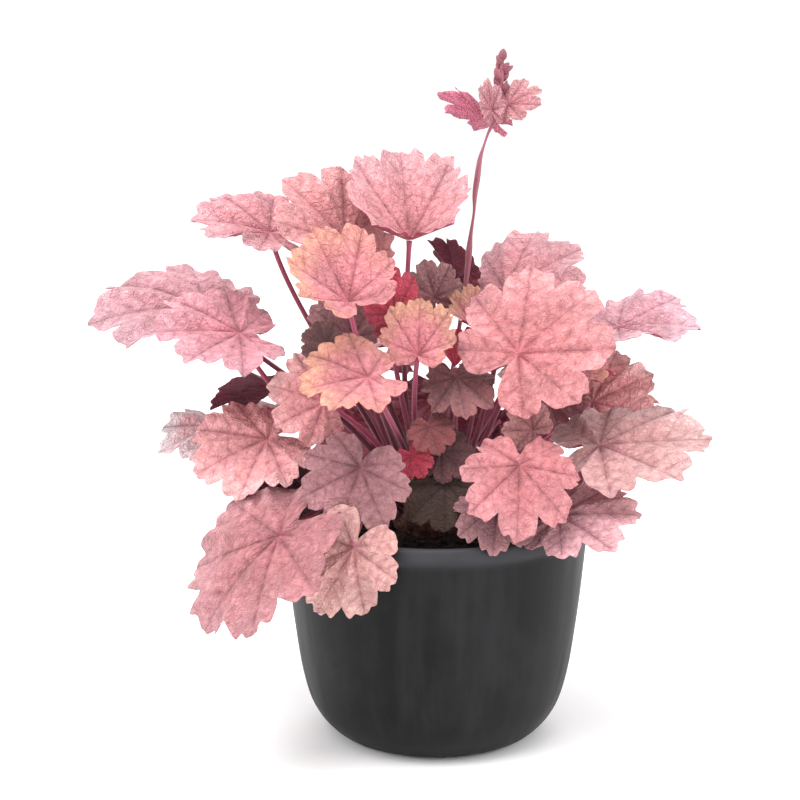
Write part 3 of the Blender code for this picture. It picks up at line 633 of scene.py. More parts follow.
def vein_lines(tree):
    """Strength of main, side and net veins, of the dark smear along the first two, which is partly painted
    shade in their folds, and the swelling of the small fields between the net veins. The lines are bent a
    little by noise."""
    vein = add(tree, "ShaderNodeUVMap", uv_map="vein").outputs[0]
    flat = add(tree, "ShaderNodeUVMap", uv_map="flat").outputs[0]
    parts = add(tree, "ShaderNodeSeparateXYZ", {0: vein}).outputs
    bent = centred(tree, flat, 1.1, 3.0, 0.07)
    along, shifted = plus(tree, parts[0], bent), plus(tree, parts[1], times(tree, bent, 0.6))
    across = maths(tree, "ABSOLUTE", shifted)

    line_width = ramp(tree, parts[0], 0.1, 1.0, 0.016, 0.006)
    smear_width = ramp(tree, parts[0], 0.05, 0.9, 0.075, 0.045)
    main = lines_near(tree, maths(tree, "DIVIDE", across, line_width), 0.25, 1.0)
    # The smear's mask along the main vein: the vein's own darker colour, and painted shade in its fold.
    shade = lines_near(tree, maths(tree, "DIVIDE", across, smear_width), 0.0, 1.0)

    forwards = maths(tree, "SUBTRACT", along, times(tree, across, BARB_SLOPE))
    turns = plus(tree, maths(tree, "DIVIDE", forwards, SPACING), centred(tree, flat, 0.6, 2.0, 0.5))
    turns = plus(tree, turns, times(tree, maths(tree, "GREATER_THAN", shifted, 0.0), STAGGER))
    off = maths(tree, "SUBTRACT", maths(tree, "FRACT", plus(tree, turns, 0.5)), 0.5)
    off = maths(tree, "ABSOLUTE", off)
    side = lines_near(tree, off, 0.015, 0.085)
    reach_out = ramp(tree, across, 0.03, 0.24, 1.0, 0.3)
    shade = maths(tree, "MAXIMUM", shade, times(tree, ramp(tree, off, 0.0, 0.3, 0.7, 0.0), reach_out))

    shift = add(tree, "ShaderNodeTexNoise", {"Vector": flat, "Scale": 2.0}).outputs["Color"]
    warp = add(tree, "ShaderNodeVectorMath", {0: flat, 1: shift}, operation="ADD").outputs[0]
    cells, small = net_edges(tree, warp, 2.4), net_edges(tree, warp, 6.5)
    net = ramp(tree, cells, 0.0, 0.15, 1.0, 0.0)
    net = maths(tree, "MAXIMUM", net, ramp(tree, small, 0.0, 0.18, 0.55, 0.0))
    swell = plus(tree, ramp(tree, cells, 0.0, 0.4), times(tree, ramp(tree, small, 0.0, 0.4), 0.4))
    return main, side, net, shade, swell, flat


def leaf_finish(name, vein_colour, vein_strength, mottle, smear_strength, raised):
    """The skin of one side of a blade. The colour of each point is in `tint`. Blotches, smears and veins
    multiply it in turn, and the smears are partly painted shade in the folds along the veins. The relief is
    grain, swelling and veins."""
    material, tree, shader = finish_of(name, 0.55, Specular_IOR_Level=0.35, Sheen_Weight=0.12,
                                       Sheen_Roughness=0.6)
    main, side, net, shade, swell, flat = vein_lines(tree)
    tint = add(tree, "ShaderNodeAttribute", attribute_name="tint").outputs["Color"]
    lines = maths(tree, "MAXIMUM", main, times(tree, side, 0.7))
    lines = maths(tree, "MAXIMUM", lines, times(tree, net, 0.62))
    fade = ramp(tree, noise(tree, flat, 1.2, 3.0), 0.3, 0.65, 0.3, 1.0)
    blotch = ramp(tree, noise(tree, flat, 1.7, 4.0, 0.62), 0.32, 0.68)
    # The smear darkens the folds along the veins: painted shade over the veins' own darker colour.
    smear = times(tree, shade, ramp(tree, noise(tree, flat, 1.3, 4.0, 0.62), 0.36, 0.62, 0.1, 1.0))
    colour = tint
    for amount, over in ((times(tree, blotch, mottle), (0.72, 0.58, 0.62)),
                         (times(tree, smear, smear_strength), (0.50, 0.38, 0.44)),
                         (times(tree, lines, fade, vein_strength), vein_colour)):
        colour = mix(tree, amount, colour, (*over, 1), "MULTIPLY")
    tree.links.new(colour, shader.inputs["Base Color"])
    tree.links.new(ramp(tree, noise(tree, flat, 6.0), 0.2, 0.8, 0.45, 0.68), shader.inputs["Roughness"])
    grain = times(tree, noise(tree, flat, 22.0, 4.0), 0.35)
    height = plus(tree, grain, times(tree, swell, -0.8 if raised else 0.8))
    height = maths(tree, "ADD" if raised else "SUBTRACT", height, times(tree, lines, 0.6))
    bump(tree, shader, height, 0.0009, 0.9)
    return material


upper_skin = leaf_finish("leaf upper", (0.44, 0.24, 0.29), 0.68, 0.75, 0.68, raised=False)
under_skin = leaf_finish("leaf underside", (0.55, 0.35, 0.40), 0.55, 0.4, 0.4, raised=True)


def stalk_finish():
    """Downy, ribbed skin of a stalk: streaks run along it, so the pattern is stretched along the tube."""
    material, tree, shader = finish_of("stalk", 0.5, Specular_IOR_Level=0.4, Sheen_Weight=0.3)
    flat = add(tree, "ShaderNodeUVMap", uv_map="flat").outputs[0]
    tint = add(tree, "ShaderNodeAttribute", attribute_name="tint").outputs["Color"]
    long = add(tree, "ShaderNodeMapping", {"Vector": flat, "Scale": (0.8, 9.0, 1.0)}).outputs[0]
    streak = ramp(tree, noise(tree, long, 1.0, 3.0), 0.3, 0.7)
    coloured = mix(tree, times(tree, streak, 0.5), tint, (0.55, 0.5, 0.52, 1), "MULTIPLY")
    tree.links.new(coloured, shader.inputs["Base Color"])
    bump(tree, shader, noise(tree, flat, 30.0, 3.0), 0.0003, 0.5)
    return material


stalk_skin = stalk_finish()
print("leaf finishes:", upper_skin.name, under_skin.name, stalk_skin.name)

# %% [markdown]
# ## The colours of the leaves
#
# No two leaves of this plant are one colour. Old ones in the light are salmon pink, and young ones in the
# middle are orange or yellow at the margin. The darker tints, mauve to dark crimson, are painted shade on
# the leaves that lie deep in the plant. Each tint holds the colour of the middle of the blade, of its margin
# and of its underside. The margin's colour is laid on in one sector more than in the others, and slow waves
# of paler and darker colour cross the blade.

# %% Colours
TINT_LOOKS = {
    "bright": ((242, 150, 154), (252, 172, 176), (196, 62, 88)),
    "pink": ((232, 152, 160), (240, 176, 184), (194, 64, 92)),
    "rose": ((206, 132, 136), (224, 152, 154), (176, 62, 86)),
    # Mauve, purple, dark and olive are darker tints that paint the shade on leaves deep in the plant.
    "mauve": ((182, 124, 130), (200, 142, 146), (150, 66, 88)),
    "orange": ((240, 144, 152), (246, 168, 144), (192, 58, 82)),
    "yellow": ((244, 148, 154), (242, 176, 144), (206, 52, 84)),
    "purple": ((142, 76, 88), (168, 96, 108), (124, 38, 62)),
    "dark": ((108, 62, 64), (130, 76, 76), (104, 32, 46)),
    "olive": ((94, 72, 58), (106, 82, 66), (84, 50, 48)),
    "crimson": ((206, 56, 84), (222, 74, 98), (212, 46, 80)),
    # The bract leaves' underside is paler than the others': painted light on undersides turned away from the
    # lamps.
    "bract": ((234, 150, 160), (244, 176, 180), (250, 138, 164)),
}
# Gains on red, green and blue for single leaves. They give some leaves their own colour, brighten others as
# painted light where the lamps leave them in shade, and darken others as painted shade deep in the plant
PAINTED_LIGHT_AND_SHADE = {"leaf_05": (1.04, 1.14, 1.16), "leaf_10": (1.6, 1.76, 1.72), "leaf_11": (2.9, 3.5, 3.3),
            "leaf_13": (0.82, 0.8, 0.78), "leaf_14": (1.45, 1.9, 1.7), "leaf_16": (0.38, 0.26, 0.27),
            "leaf_17": (0.46, 0.22, 0.23), "leaf_19": (0.64, 0.45, 0.37), "leaf_20": (0.9, 0.8, 0.82),
            "leaf_22": (1.78, 1.95, 2.0), "leaf_23": (1.04, 1.28, 1.2), "leaf_24": (1.7, 1.83, 1.75),
            "leaf_27": (1.09, 1.28, 1.28), "leaf_33": (0.7, 0.5, 0.46), "leaf_36": (1.63, 1.7, 1.61)}
SKIN = np.array((0.82, 0.905, 0.875))  # share of the colour seen in the light that the skin itself has
# Stalks are crimson at the top. The darker colour at the foot is painted shade deep under the leaves.
STALK_TOP, STALK_FOOT = linear(176, 70, 100), linear(118, 36, 60)


def slow_waves(x, y, chance, size, count=5):
    """Sum of plane waves in random directions, about -1 to 1, for soft patches of a given size."""
    ways, phases = chance.uniform(0, 2 * np.pi, count), chance.uniform(0, 2 * np.pi, count)
    steps = chance.uniform(0.6, 1.6, count) * 2 * np.pi / size
    waves = (np.sin(s * (x * np.cos(w) + y * np.sin(w)) + p) for s, w, p in zip(steps, ways, phases))
    return sum(waves) / count


def leaf_tints(tint, part, turn, flat, sides, chance, gain):
    """Linear colour of every point. flat: its place on the blade in centimetres. sides: 0 upper, 1 under,
    2 stalk. part: 0 at the hub to 1 at the edge."""
    middle, margin, under = (linear(*c) for c in TINT_LOOKS[tint])
    own = 1 + chance.uniform(-0.06, 0.06) + chance.uniform(-0.03, 0.03, 3)
    sector = 0.55 + 0.45 * np.cos(np.radians(turn) - chance.uniform(-1.2, 1.2))
    rim = (smooth_step(0.5, 1.0, part) * sector)[:, None]
    x, y = flat[:, 0] * 10, flat[:, 1] * 10
    wave = slow_waves(x, y, chance, 38)[:, None]
    # Darker and redder round the hub, where the blade dips to its stalk: painted shade in that hollow.
    painted_hub_shade = np.exp(-((part / 0.22) ** 2))[:, None]
    top = middle * (1 - rim) + margin * rim
    top = top * (1 + 0.22 * wave) * (1 - painted_hub_shade * np.array((0.16, 0.34, 0.3)))
    below = under * (1 + 0.15 * wave)
    # Darker towards the foot: painted shade under the leaves.
    down = smooth_step(0, 1, np.clip(flat[:, 0] / 12, 0, 1))[:, None]
    stem = STALK_TOP * (1 - down) + STALK_FOOT * down
    colours = np.where((sides == 0)[:, None], top, np.where((sides == 1)[:, None], below, stem))
    # The gain paints light on some leaves and shade on others.
    return np.clip(colours * own * SKIN * gain, 0.003, 0.9)


print(len(TINT_LOOKS), "tints, and", len(PAINTED_LIGHT_AND_SHADE), "leaves with shares of their own")


# %% [markdown]
# ## The leaves
#
# Each fine leaf stands for the solid of the same name. The colour of each point is worked out here, once,
# and kept in the mesh.


# %% Grow the leaves
def grown_leaf(leaf, root, out, tint, seed, gain=1.0):
    """Points, quads, triangles, face kinds, corner maps and colours of one leaf."""
    points, quads, triangles, kinds, maps, part, turn = leaf_arrays(leaf, root, out)
    corners = np.concatenate([quads.ravel(), triangles.ravel()])
    corner_kind = np.concatenate([np.repeat(kinds[:len(quads)], 4), np.repeat(kinds[len(quads):], 3)])
    sides, flat = np.zeros(len(points)), np.zeros((len(points), 2))
    np.maximum.at(sides, corners, corner_kind)
    flat[corners] = maps["flat"]
    colours = leaf_tints(tint, part, turn, flat, sides, np.random.default_rng(TINT_SEED + seed), gain)
    return points, quads, triangles, kinds, maps, colours


def leaf_piece(name, points, quads, triangles, kinds, maps, colours):
    """An object in the three skins of a leaf."""
    skins = (upper_skin, under_skin, stalk_skin)
    return make_piece(name, points, quads, triangles, skins, kinds, maps, colours)


triangles_made = 0
for seed, (hub, tip, face, ring, turn, tint, shape) in enumerate(LEAVES):
    name, leaf = f"leaf_{seed + 1:02}", Leaf(hub, tip, face, seed=seed, **shape)
    # Each leaf's gain from the table: painted light on some leaves, painted shade on others.
    parts = grown_leaf(leaf, *root_of(ring, turn), tint, seed, PAINTED_LIGHT_AND_SHADE.get(name, 1.0))
    fine = leaf_piece(name + "_fine", *parts)
    place(fine, name)
    triangles_made += len(fine.data.loops) - 2 * len(fine.data.polygons)
print(len(LEAVES), "leaves,", triangles_made, "triangles")

# %% [markdown]
# ## The pot
#
# A nursery pot is blown or moulded from black polythene. It has a rolled rim over a shallow step, a wall
# that narrows to a rounded foot, and drain holes. The wall is a profile turned round the axis. The points
# of the profile are joined by a smooth curve, so that the foot and the rim are round. A Screw modifier
# could turn it as well, but the crown and the compost need the same rings as arrays, to shake them.

# %% Pot
POT_OUTSIDE = ((59, 0), (66.5, 2.4), (74.6, 10), (80.4, 19), (84.4, 30), (88.2, 47), (91.3, 68), (94.6, 95),
               (98.6, 136.6))
POT_RIM = ((100.3, 137.6), (100.9, 141), (100.3, 146.2), (98, 148), (96, 147), (95.4, 143.5))
POT_INSIDE = ((95.4, 135), (91.9, 95), (88.7, 68), (81.6, 31.5), (71.5, 12), (59, 3))
DRAIN_HOLES, DRAIN_RADIUS, DRAIN_RING = 5, 6, 42
POT_SIDES = 160


def smooth_profile(knots, step):
    """Points along a curve through the knots. Each stretch is a cubic that leaves a knot in the direction
    of the line between that knot's two neighbours."""
    k = np.array(knots, float)
    ends = np.vstack([2 * k[0] - k[1], k, 2 * k[-1] - k[-2]])
    out = []
    for a, b, c, d in zip(ends, ends[1:], ends[2:], ends[3:]):
        count = max(int(np.linalg.norm(c - b) / step), 1)
        s = (np.arange(count) / count)[:, None]
        square, cube = 2 * a - 5 * b + 4 * c - d, 3 * b - a - 3 * c + d
        out.append(0.5 * (2 * b + (c - a) * s + square * s**2 + cube * s**3))
    return np.vstack([*out, k[-1:]])


def turned_piece(profile, sides):
    """Points, quads and triangles of a profile turned round the axis. Both ends are closed on the axis."""
    turn = turns_round(sides)
    rings = np.stack([profile[:, :1] * np.cos(turn), profile[:, :1] * np.sin(turn),
                      np.repeat(profile[:, 1:], sides, 1)], -1).reshape(-1, 3)
    points = np.vstack([rings, [(0, 0, profile[0, 1]), (0, 0, profile[-1, 1])]])
    return points, *tube_faces(len(profile), sides)


print("the pot's profile is given by", len(POT_OUTSIDE + POT_RIM + POT_INSIDE), "points")

# %% [markdown]
# ## The pot's finish
#
# The plastic is matt and black, with faint streaks down the wall. A grey band on and under the rim is
# partly dusty and partly a painted highlight on the rolled rim. An image could show them, but noise in
# Object coordinates has no seam and needs no map.


# %% Pot finish
def pot_finish():
    """Matt black polythene: faint streaks down the wall, and a grey band on and under the rim that is partly
    dusty and partly a painted highlight.
    """
    material, tree, shader = finish_of("black plastic", 0.5, Specular_IOR_Level=0.13)
    place_of = add(tree, "ShaderNodeTexCoord").outputs["Object"]
    height = add(tree, "ShaderNodeSeparateXYZ", {0: place_of}).outputs[2]
    long = add(tree, "ShaderNodeMapping", {"Vector": place_of, "Scale": (60, 60, 5)}).outputs[0]
    streaks = noise(tree, long, 1.0, 5.0, 0.6)
    cloud = noise(tree, place_of, 14.0, 4.0, 0.6)
    wall = mix(tree, ramp(tree, streaks, 0.35, 0.75), (0.003, 0.003, 0.0035, 1), (0.014, 0.014, 0.015, 1))
    wall = mix(tree, ramp(tree, cloud, 0.4, 0.75, 0.0, 0.5), wall, (0.018, 0.0175, 0.019, 1))
    # The grey band near the rim: partly dusty, and partly a painted highlight on the rolled rim.
    near_rim = ramp(tree, height, 0.132, 0.143)
    rim_dust_and_painted_highlight = times(tree, near_rim, ramp(tree, cloud, 0.25, 0.65, 0.25, 0.8))
    tree.links.new(mix(tree, rim_dust_and_painted_highlight, wall, (0.046, 0.045, 0.051, 1)), shader.inputs["Base Color"])
    tree.links.new(ramp(tree, streaks, 0.3, 0.8, 0.4, 0.62), shader.inputs["Roughness"])
    fine = noise(tree, place_of, 900.0, 2.0)
    bump(tree, shader, plus(tree, streaks, times(tree, fine, 0.2)), 0.0004, 0.5)
    return material


pot_skin = pot_finish()
print("pot finish:", pot_skin.name)

# %% [markdown]
# ## The pot's wall and its holes
#
# Five holes drain the pot. They could be left out of the grid, but round holes don't follow its rings. So
# Boolean modifiers cut them with the exact solver, and what they leave is kept as a plain mesh.

# %% Turn the pot and cut its drain holes
pot_profile = smooth_profile((*POT_OUTSIDE, *POT_RIM, *POT_INSIDE), 2.5)
points, quads, triangles = turned_piece(pot_profile, POT_SIDES)
pot = make_piece("pot_wall", points, quads, triangles, [pot_skin])
cutters = []
for i in range(DRAIN_HOLES):
    turn = np.radians(i * 360 / DRAIN_HOLES + 30)
    points, quads, triangles = turned_piece(np.array([(DRAIN_RADIUS, -3.0), (DRAIN_RADIUS, 6.0)]), 40)
    points += (DRAIN_RING * np.cos(turn), DRAIN_RING * np.sin(turn), 0)
    cutters.append(make_piece(f"drain_cutter_{i}", points, quads, triangles, []))
    hole = pot.modifiers.new(f"hole {i}", "BOOLEAN")
    hole.operation, hole.solver, hole.object = "DIFFERENCE", "EXACT", cutters[-1]
pot.data = bpy.data.meshes.new_from_object(pot.evaluated_get(bpy.context.evaluated_depsgraph_get()))
pot.modifiers.clear()
for cutter in cutters:
    bpy.data.objects.remove(cutter)
place(pot, "pot")
print("pot:", len(pot_profile), "rings of", POT_SIDES, "points,", len(pot.data.polygons), "faces with holes")

# %% [markdown]
# ## The compost
#
# Bark and peat compost is crumbly, dark and never flat. The top is a turned profile whose height is shaken
# by waves of several sizes, and it carries a few hundred crumbs of bark, each a small block with its corners
# moved at random. Particles could scatter them, but all crumbs worked out as one array are one plain mesh.
# Its finish, dark with paler specks, serves the crown as well.

# %% Compost
SOIL_SIDES, SOIL_ROWS, CRUMBS = 220, 46, 520
SOIL_WALL = ((58.7, 3.4), (71.1, 12.3), (81.2, 31.7), (88.3, 68), (91.5, 95), (94.4, 130))
SOIL_HOLE = ((27.2, SOIL_TOP), (26.5, 124))  # side of the hole that the crown stands in


def crumbly_finish(name, roughness, specular, sizes, colours, levels, relief):
    """Dark matter with paler specks: coarse noise mixes the first two colours, and fine noise lays the
    third over them. The relief is in metres."""
    material, tree, shader = finish_of(name, roughness, Specular_IOR_Level=specular)
    place_of = add(tree, "ShaderNodeTexCoord").outputs["Object"]
    coarse, fine = noise(tree, place_of, *sizes[0]), noise(tree, place_of, *sizes[1])
    base = mix(tree, ramp(tree, coarse, *levels[0]), (*colours[0], 1), (*colours[1], 1))
    base = mix(tree, ramp(tree, fine, *levels[1]), base, (*colours[2], 1))
    tree.links.new(base, shader.inputs["Base Color"])
    bump(tree, shader, plus(tree, coarse, fine), *relief)
    return material


def crumbs(count, chance):
    """Small blocks on the compost, thrown evenly over its ring. Each is a cube stretched, turned and with
    its corners moved. Gives points and quads."""
    cube = np.array([(x, y, z) for x in (-1, 1) for y in (-1, 1) for z in (-1, 1)], float)
    sides = np.array([(0, 1, 3, 2), (4, 6, 7, 5), (0, 4, 5, 1), (2, 3, 7, 6), (0, 2, 6, 4), (1, 5, 7, 3)])
    size = chance.uniform(0.8, 2.4, (count, 1, 3)) * chance.uniform(0.6, 1.3, (count, 1, 1))
    body = cube * size * (1 + chance.uniform(-0.25, 0.25, (count, 8, 3)))
    turn = chance.uniform(0, 2 * np.pi, count)
    c, s = np.cos(turn)[:, None], np.sin(turn)[:, None]
    body = np.stack([body[..., 0] * c - body[..., 1] * s, body[..., 0] * s + body[..., 1] * c,
                     body[..., 2] * 0.6], -1)
    reach = np.sqrt(chance.uniform(31.0**2, 90.0**2, count))
    way = chance.uniform(0, 2 * np.pi, count)
    x, y = reach * np.cos(way), reach * np.sin(way)
    body += np.stack([x, y, soil_height(x, y) + 0.4], -1)[:, None, :]
    faces = (np.arange(count) * 8)[:, None, None] + sides
    return body.reshape(-1, 3), faces.reshape(-1, 4)


def soil_height(x, y):
    """Height of the compost: a slight rise to the middle, and waves 30, 11 and 4.5 mm long."""
    chance = np.random.default_rng(SOIL_SEED)
    r = np.hypot(x, y)
    quiet = 1 - smooth_step(86, 94.5, r)
    rise = np.interp(r, (27, 56, 84, 94.6), (136.4, 135.8, 134, 131.4))
    waves = 1.0 * slow_waves(x, y, chance, 30) + 1.1 * slow_waves(x, y, chance, 11, 7)
    return rise + quiet * (waves + 0.9 * slow_waves(x, y, chance, 4.5, 9) - 0.6)


compost_skin = crumbly_finish(
    "compost", 0.95, 0.2, ((90.0, 4.0), (420.0, 4.0, 0.7)),
    ((0.010, 0.006, 0.006), (0.034, 0.020, 0.016), (0.085, 0.052, 0.038)),
    ((0.35, 0.65), (0.58, 0.7)), (0.002, 0.9))
top_rows = np.stack([np.linspace(94.4, 27.8, SOIL_ROWS), np.full(SOIL_ROWS, SOIL_TOP)], -1)
points, quads, triangles = turned_piece(np.vstack([SOIL_WALL, top_rows, SOIL_HOLE]), SOIL_SIDES)
on_top = np.arange(len(SOIL_WALL) * SOIL_SIDES, (len(SOIL_WALL) + SOIL_ROWS) * SOIL_SIDES)
points[on_top, 2] = soil_height(points[on_top, 0], points[on_top, 1])
chips, chip_quads = crumbs(CRUMBS, np.random.default_rng(CRUMB_SEED))
soil = make_piece("compost", np.vstack([points, chips]), np.vstack([quads, chip_quads + len(points)]),
                  triangles, [compost_skin])
soil.data.polygons.foreach_set("use_smooth", np.arange(len(soil.data.polygons)) < len(quads))
place(soil, "soil")
print("compost:", CRUMBS, "crumbs")

# %% [markdown]
# ## The crown
#
# The rootstock of a heuchera is short, thick and scaly with the dry feet of old stalks. It is a turned dome
# with uneven rings, and rows of small pointed scales lap over it. A scale is a grid that is widest near its
# foot and bends outwards at its tip.

# %% Crown
CROWN_SIDES, SCALES = 96, 70
SCALE_GRID = 5  # points along and across a scale
CROWN_PROFILE = ((26.1, 124.3), (27, 136.6), (27.8, 139), (26.5, 144), (22.5, 148), (16, 151), (8, 152.6))


def scales(count, chance):
    """Pointed scales on the crown. Each is a closed sheet wrapped to the dome, 0.5 mm thick, whose
    half width is a sine of its length and whose tip bends outwards. Gives points and quads."""
    side, half_count = SCALE_GRID, SCALE_GRID**2
    u, v = np.meshgrid(np.linspace(0, 1, side), np.linspace(-1, 1, side), indexing="ij")
    grid = np.arange(half_count).reshape(side, side)
    edge = np.concatenate([grid[0], grid[1:, -1], grid[-1, -2::-1], grid[-2:0:-1, 0]])
    profile = np.array(CROWN_PROFILE)
    points, quads = [], []
    for i in range(count):
        height, turn = chance.uniform(137.5, 147.5), chance.uniform(0, 2 * np.pi)
        radius = np.interp(height, profile[:, 1], profile[:, 0])
        long, wide = chance.uniform(5, 9), chance.uniform(2.0, 3.4)
        half = wide * np.sin(np.pi * np.clip(0.2 + 0.8 * u, 0, 1)) ** 0.8
        out = 0.2 + 1.6 * u**2 - 0.5 * v**2
        rise = height + long * u * 0.75
        around = turn + half * v / radius
        dome = np.interp(rise, profile[:, 1], profile[:, 0])
        for lift in (0.5, 0.0):
            r = dome + out + lift
            points.append(np.stack([r * np.cos(around), r * np.sin(around), rise], -1).reshape(-1, 3))
        front, ring = grid_quads(side, side, 2 * half_count * i, wrap=False), edge + 2 * half_count * i
        rim = np.stack([ring, ring + half_count, np.roll(ring, -1) + half_count, np.roll(ring, -1)], -1)
        quads += [front[:, ::-1], front + half_count, rim[:, ::-1]]
    return np.vstack(points), np.vstack(quads)


crown_skin = crumbly_finish(
    "rootstock", 0.85, 0.25, ((120.0, 4.0), (700.0, 3.0)),
    ((0.045, 0.018, 0.016), (0.16, 0.07, 0.055), (0.30, 0.17, 0.13)),
    ((0.3, 0.7), (0.55, 0.75, 0.0, 0.6)), (0.001, 0.8))
dome = smooth_profile((*CROWN_PROFILE, (0.6, 153)), 1.2)
points, quads, triangles = turned_piece(dome, CROWN_SIDES)
chance = np.random.default_rng(CROWN_SEED)
knobs = 0.35 * slow_waves(points[:, 0], points[:, 1], chance, 9, 7) + 0.3 * np.sin(points[:, 2] * 2.6)
points[:, :2] *= (1 + knobs / 26)[:, None]
scale_points, scale_quads = scales(SCALES, chance)
crown = make_piece("rootstock", np.vstack([points, scale_points]),
                   np.vstack([quads, scale_quads + len(points)]), triangles, [crown_skin])
place(crown, "crown")
print("crown:", len(dome), "rings and", SCALES, "scales")

# %% [markdown]
# ## The flower stem
#
# A thin stem stands behind the leaves. It swells where a sheath clasps it, and ends in a cluster of closed
# buds with small lobed bract leaves round it. The stem is a tube along a smooth curve through the points
# that the solid uses. A bud is an egg with five sepals: its radius is a sine of its length, and swells five
# times round. The bract leaves are grown by the same functions as the big ones.

# %% Buds and stem
STEM_SIDES = 14
BUD_RINGS, BUD_SIDES = 14, 30
WEIGHT = 12  # the radius is carried along the stem's curve as a fourth coordinate, times this


def bud(middle, axis, radius, length):
    """An egg of five sepals along the axis: radius times sin(pi s)^0.7, swollen by 12 per cent five times
    round, with lips where the sepals part near the tip. Gives points, quads and triangles."""
    w = unit(np.array(axis, float))
    u = unit(np.cross(w, (0, 1, 0.2)))
    v = np.cross(w, u)
    s, turn = np.linspace(0.03, 0.97, BUD_RINGS), turns_round(BUD_SIDES)
    ribs = 1 + (0.12 + 0.1 * smooth_step(0.6, 1, s))[:, None] * np.abs(np.cos(2.5 * turn)) - 0.08
    r = (radius * np.sin(np.pi * s**0.85) ** 0.7)[:, None] * ribs
    middle, along = np.array(middle, float), np.repeat(((s * 2 - 1) * length)[:, None], BUD_SIDES, 1)
    points = (middle + (r * np.cos(turn))[..., None] * u + (r * np.sin(turn))[..., None] * v
              + along[..., None] * w).reshape(-1, 3)
    ends = np.array([middle - w * length, middle + w * length])
    return np.vstack([points, ends]), *tube_faces(BUD_RINGS, BUD_SIDES)


def join_parts(parts):
    """Several parts as one. A part is points, quads, triangles, face kinds, corner maps and colours. Corners
    of all quads come first, then those of all triangles."""
    starts = np.cumsum([0] + [len(p[0]) for p in parts])
    points = np.vstack([p[0] for p in parts])
    quads = np.vstack([p[1] + s for p, s in zip(parts, starts)])
    triangles = np.vstack([p[2] + s for p, s in zip(parts, starts)])
    kinds = np.concatenate([p[3][:len(p[1])] for p in parts] + [p[3][len(p[1]):] for p in parts])
    maps = {key: np.vstack([p[4][key][:4 * len(p[1])] for p in parts]
                           + [p[4][key][4 * len(p[1]):] for p in parts]) for key in ("flat", "vein")}
    return points, quads, triangles, kinds, maps, np.vstack([p[5] for p in parts])


def skin_part(points, quads, triangles, point_uv, colour):
    """A part in the stalk's skin, with one colour or a colour for each point."""
    corners = np.concatenate([quads.ravel(), triangles.ravel()])
    maps = {"flat": point_uv[corners], "vein": np.zeros((len(corners), 2))}
    colours = np.broadcast_to(colour, (len(points), 3)).copy()
    return points, quads, triangles, np.full(len(quads) + len(triangles), 2.0), maps, colours


knots = np.array([(*point, radius * WEIGHT) for point, radius in STEM], float)
route = smooth_profile(knots, 2.0)
run = run_along(route[:, :3])
points, quads, triangles, stem_uv = tube(route[:, :3], run / run[-1], route[:, 3] / WEIGHT, STEM_SIDES,
                                         np.array((1.0, 0, 0)), ribs=0.04)
# The stem is darker low down, where it stands among the leaves: painted shade.
height = smooth_step(150, 300, points[:, 2])[:, None]
stem_colour = linear(112, 40, 54) * (1 - height) + linear(150, 84, 98) * height
parts = [skin_part(points, quads, triangles, stem_uv, stem_colour)]
for i, row in enumerate(BUDS):
    points, quads, triangles = bud(*row)
    shade = linear(138, 70, 84) * (0.8 + 0.08 * (i % 5))
    parts.append(skin_part(points, quads, triangles, points[:, [0, 2]] / 10, shade))
for i, (hub, tip, face, root, shape) in enumerate(BRACTS):
    leaf, root = Leaf(hub, tip, face, seed=BRACT_SEED + i, **shape), np.array(root, float)
    parts.append(grown_leaf(leaf, root, unit(leaf.hub - root), "bract", BRACT_SEED + i))
flower = leaf_piece("flower_stem_fine", *join_parts(parts))
place(flower, "flower_stem")
print("flower stem:", len(route), "rings,", len(BUDS), "buds,", len(BRACTS), "bract leaves")

# %% [markdown]
# ## Floor and light
#
# The photograph was taken in soft light from all round, a little from above. Broad lamps stand over the
# plant and at both sides, and the side ones give the black pot its pale flanks. A sky alone is as soft, but
# would leave the pot a flat black shape.

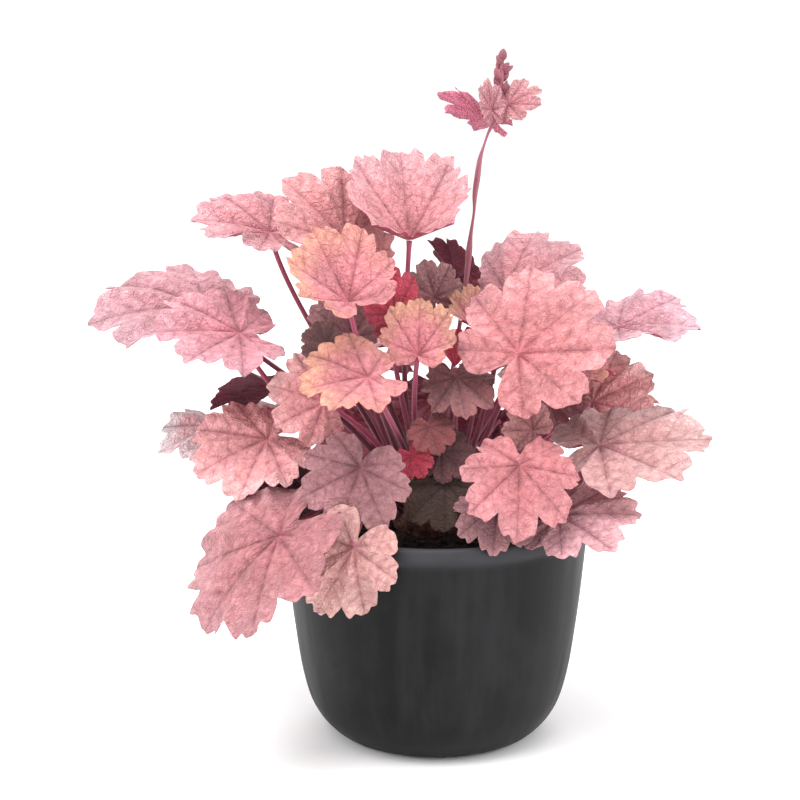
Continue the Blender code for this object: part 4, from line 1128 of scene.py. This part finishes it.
# %% Floor and light
floor_skin, _, floor_shader = finish_of("floor", 0.9, Specular_IOR_Level=0.1)
floor_shader.inputs["Base Color"].default_value = (0.95, 0.95, 0.95, 1)
HALF_FLOOR, FLOOR_DROP = 4000, 0.2  # a hair under the pot, so that the two don't share a plane
corners = np.array([(-1, -1, 0), (1, -1, 0), (1, 1, 0), (-1, 1, 0)])
floor_points = corners * HALF_FLOOR - (0, 0, FLOOR_DROP)
floor = make_piece("floor", floor_points, np.array([[0, 1, 2, 3]]), np.zeros((0, 3), int), [floor_skin])


def soft_lamp(name, place_at, target, size, power):
    """A square area lamp that faces the target."""
    lamp = bpy.data.lights.new(name, "AREA")
    lamp.shape, lamp.size, lamp.energy = "SQUARE", size, power
    stand = bpy.data.objects.new(name, lamp)
    way = np.array(target, float) - np.array(place_at, float)
    stand.location = place_at
    tilt = np.arctan2(np.hypot(way[0], way[1]), -way[2])
    stand.rotation_euler = (tilt, 0, np.arctan2(way[1], way[0]) - np.pi / 2)
    bpy.context.scene.collection.objects.link(stand)


# A lamp's row: name, place, what it faces, size in metres, power in watts.
for row in (("overhead", (-0.3, -0.5, 2.0), (0, 0, 0.25), 1.4, 24),
            ("left", (-1.6, -0.7, 0.9), (0, 0, 0.2), 1.2, 7),
            ("right", (1.6, -0.5, 0.8), (0, 0, 0.2), 1.2, 8),
            ("behind", (0.4, 1.8, 1.2), (0, 0, 0.25), 1.4, 8)):
    soft_lamp(*row)
scene = bpy.context.scene
scene.world = scene.world or bpy.data.worlds.new("world")
scene.world.use_nodes = True
sky = scene.world.node_tree.nodes["Background"]
sky.inputs["Color"].default_value, sky.inputs["Strength"].default_value = (1, 1, 1, 1), 0.6
scene.view_settings.view_transform, scene.view_settings.exposure = "Standard", 0.85

# %% [markdown]
# ## Camera
#
# The camera looks down by 12 degrees from 1.2 m away. A short lens close by would take in as much, but it
# would swell the near leaves. The photograph shows no such swelling, so the lens is long.

# %% Camera
camera = bpy.data.objects.new("camera", bpy.data.cameras.new("camera"))
camera.location = (-0.023, -1.1738, 0.4675)
camera.rotation_euler = (np.radians(90 - 12), 0, 0)  # 12 degrees down
camera.data.lens, camera.data.sensor_width, camera.data.clip_end = 84.4, 36, 20
scene.collection.objects.link(camera)
scene.camera = camera
print("camera:", camera.data.lens, "mm lens,", [round(c, 3) for c in camera.location])
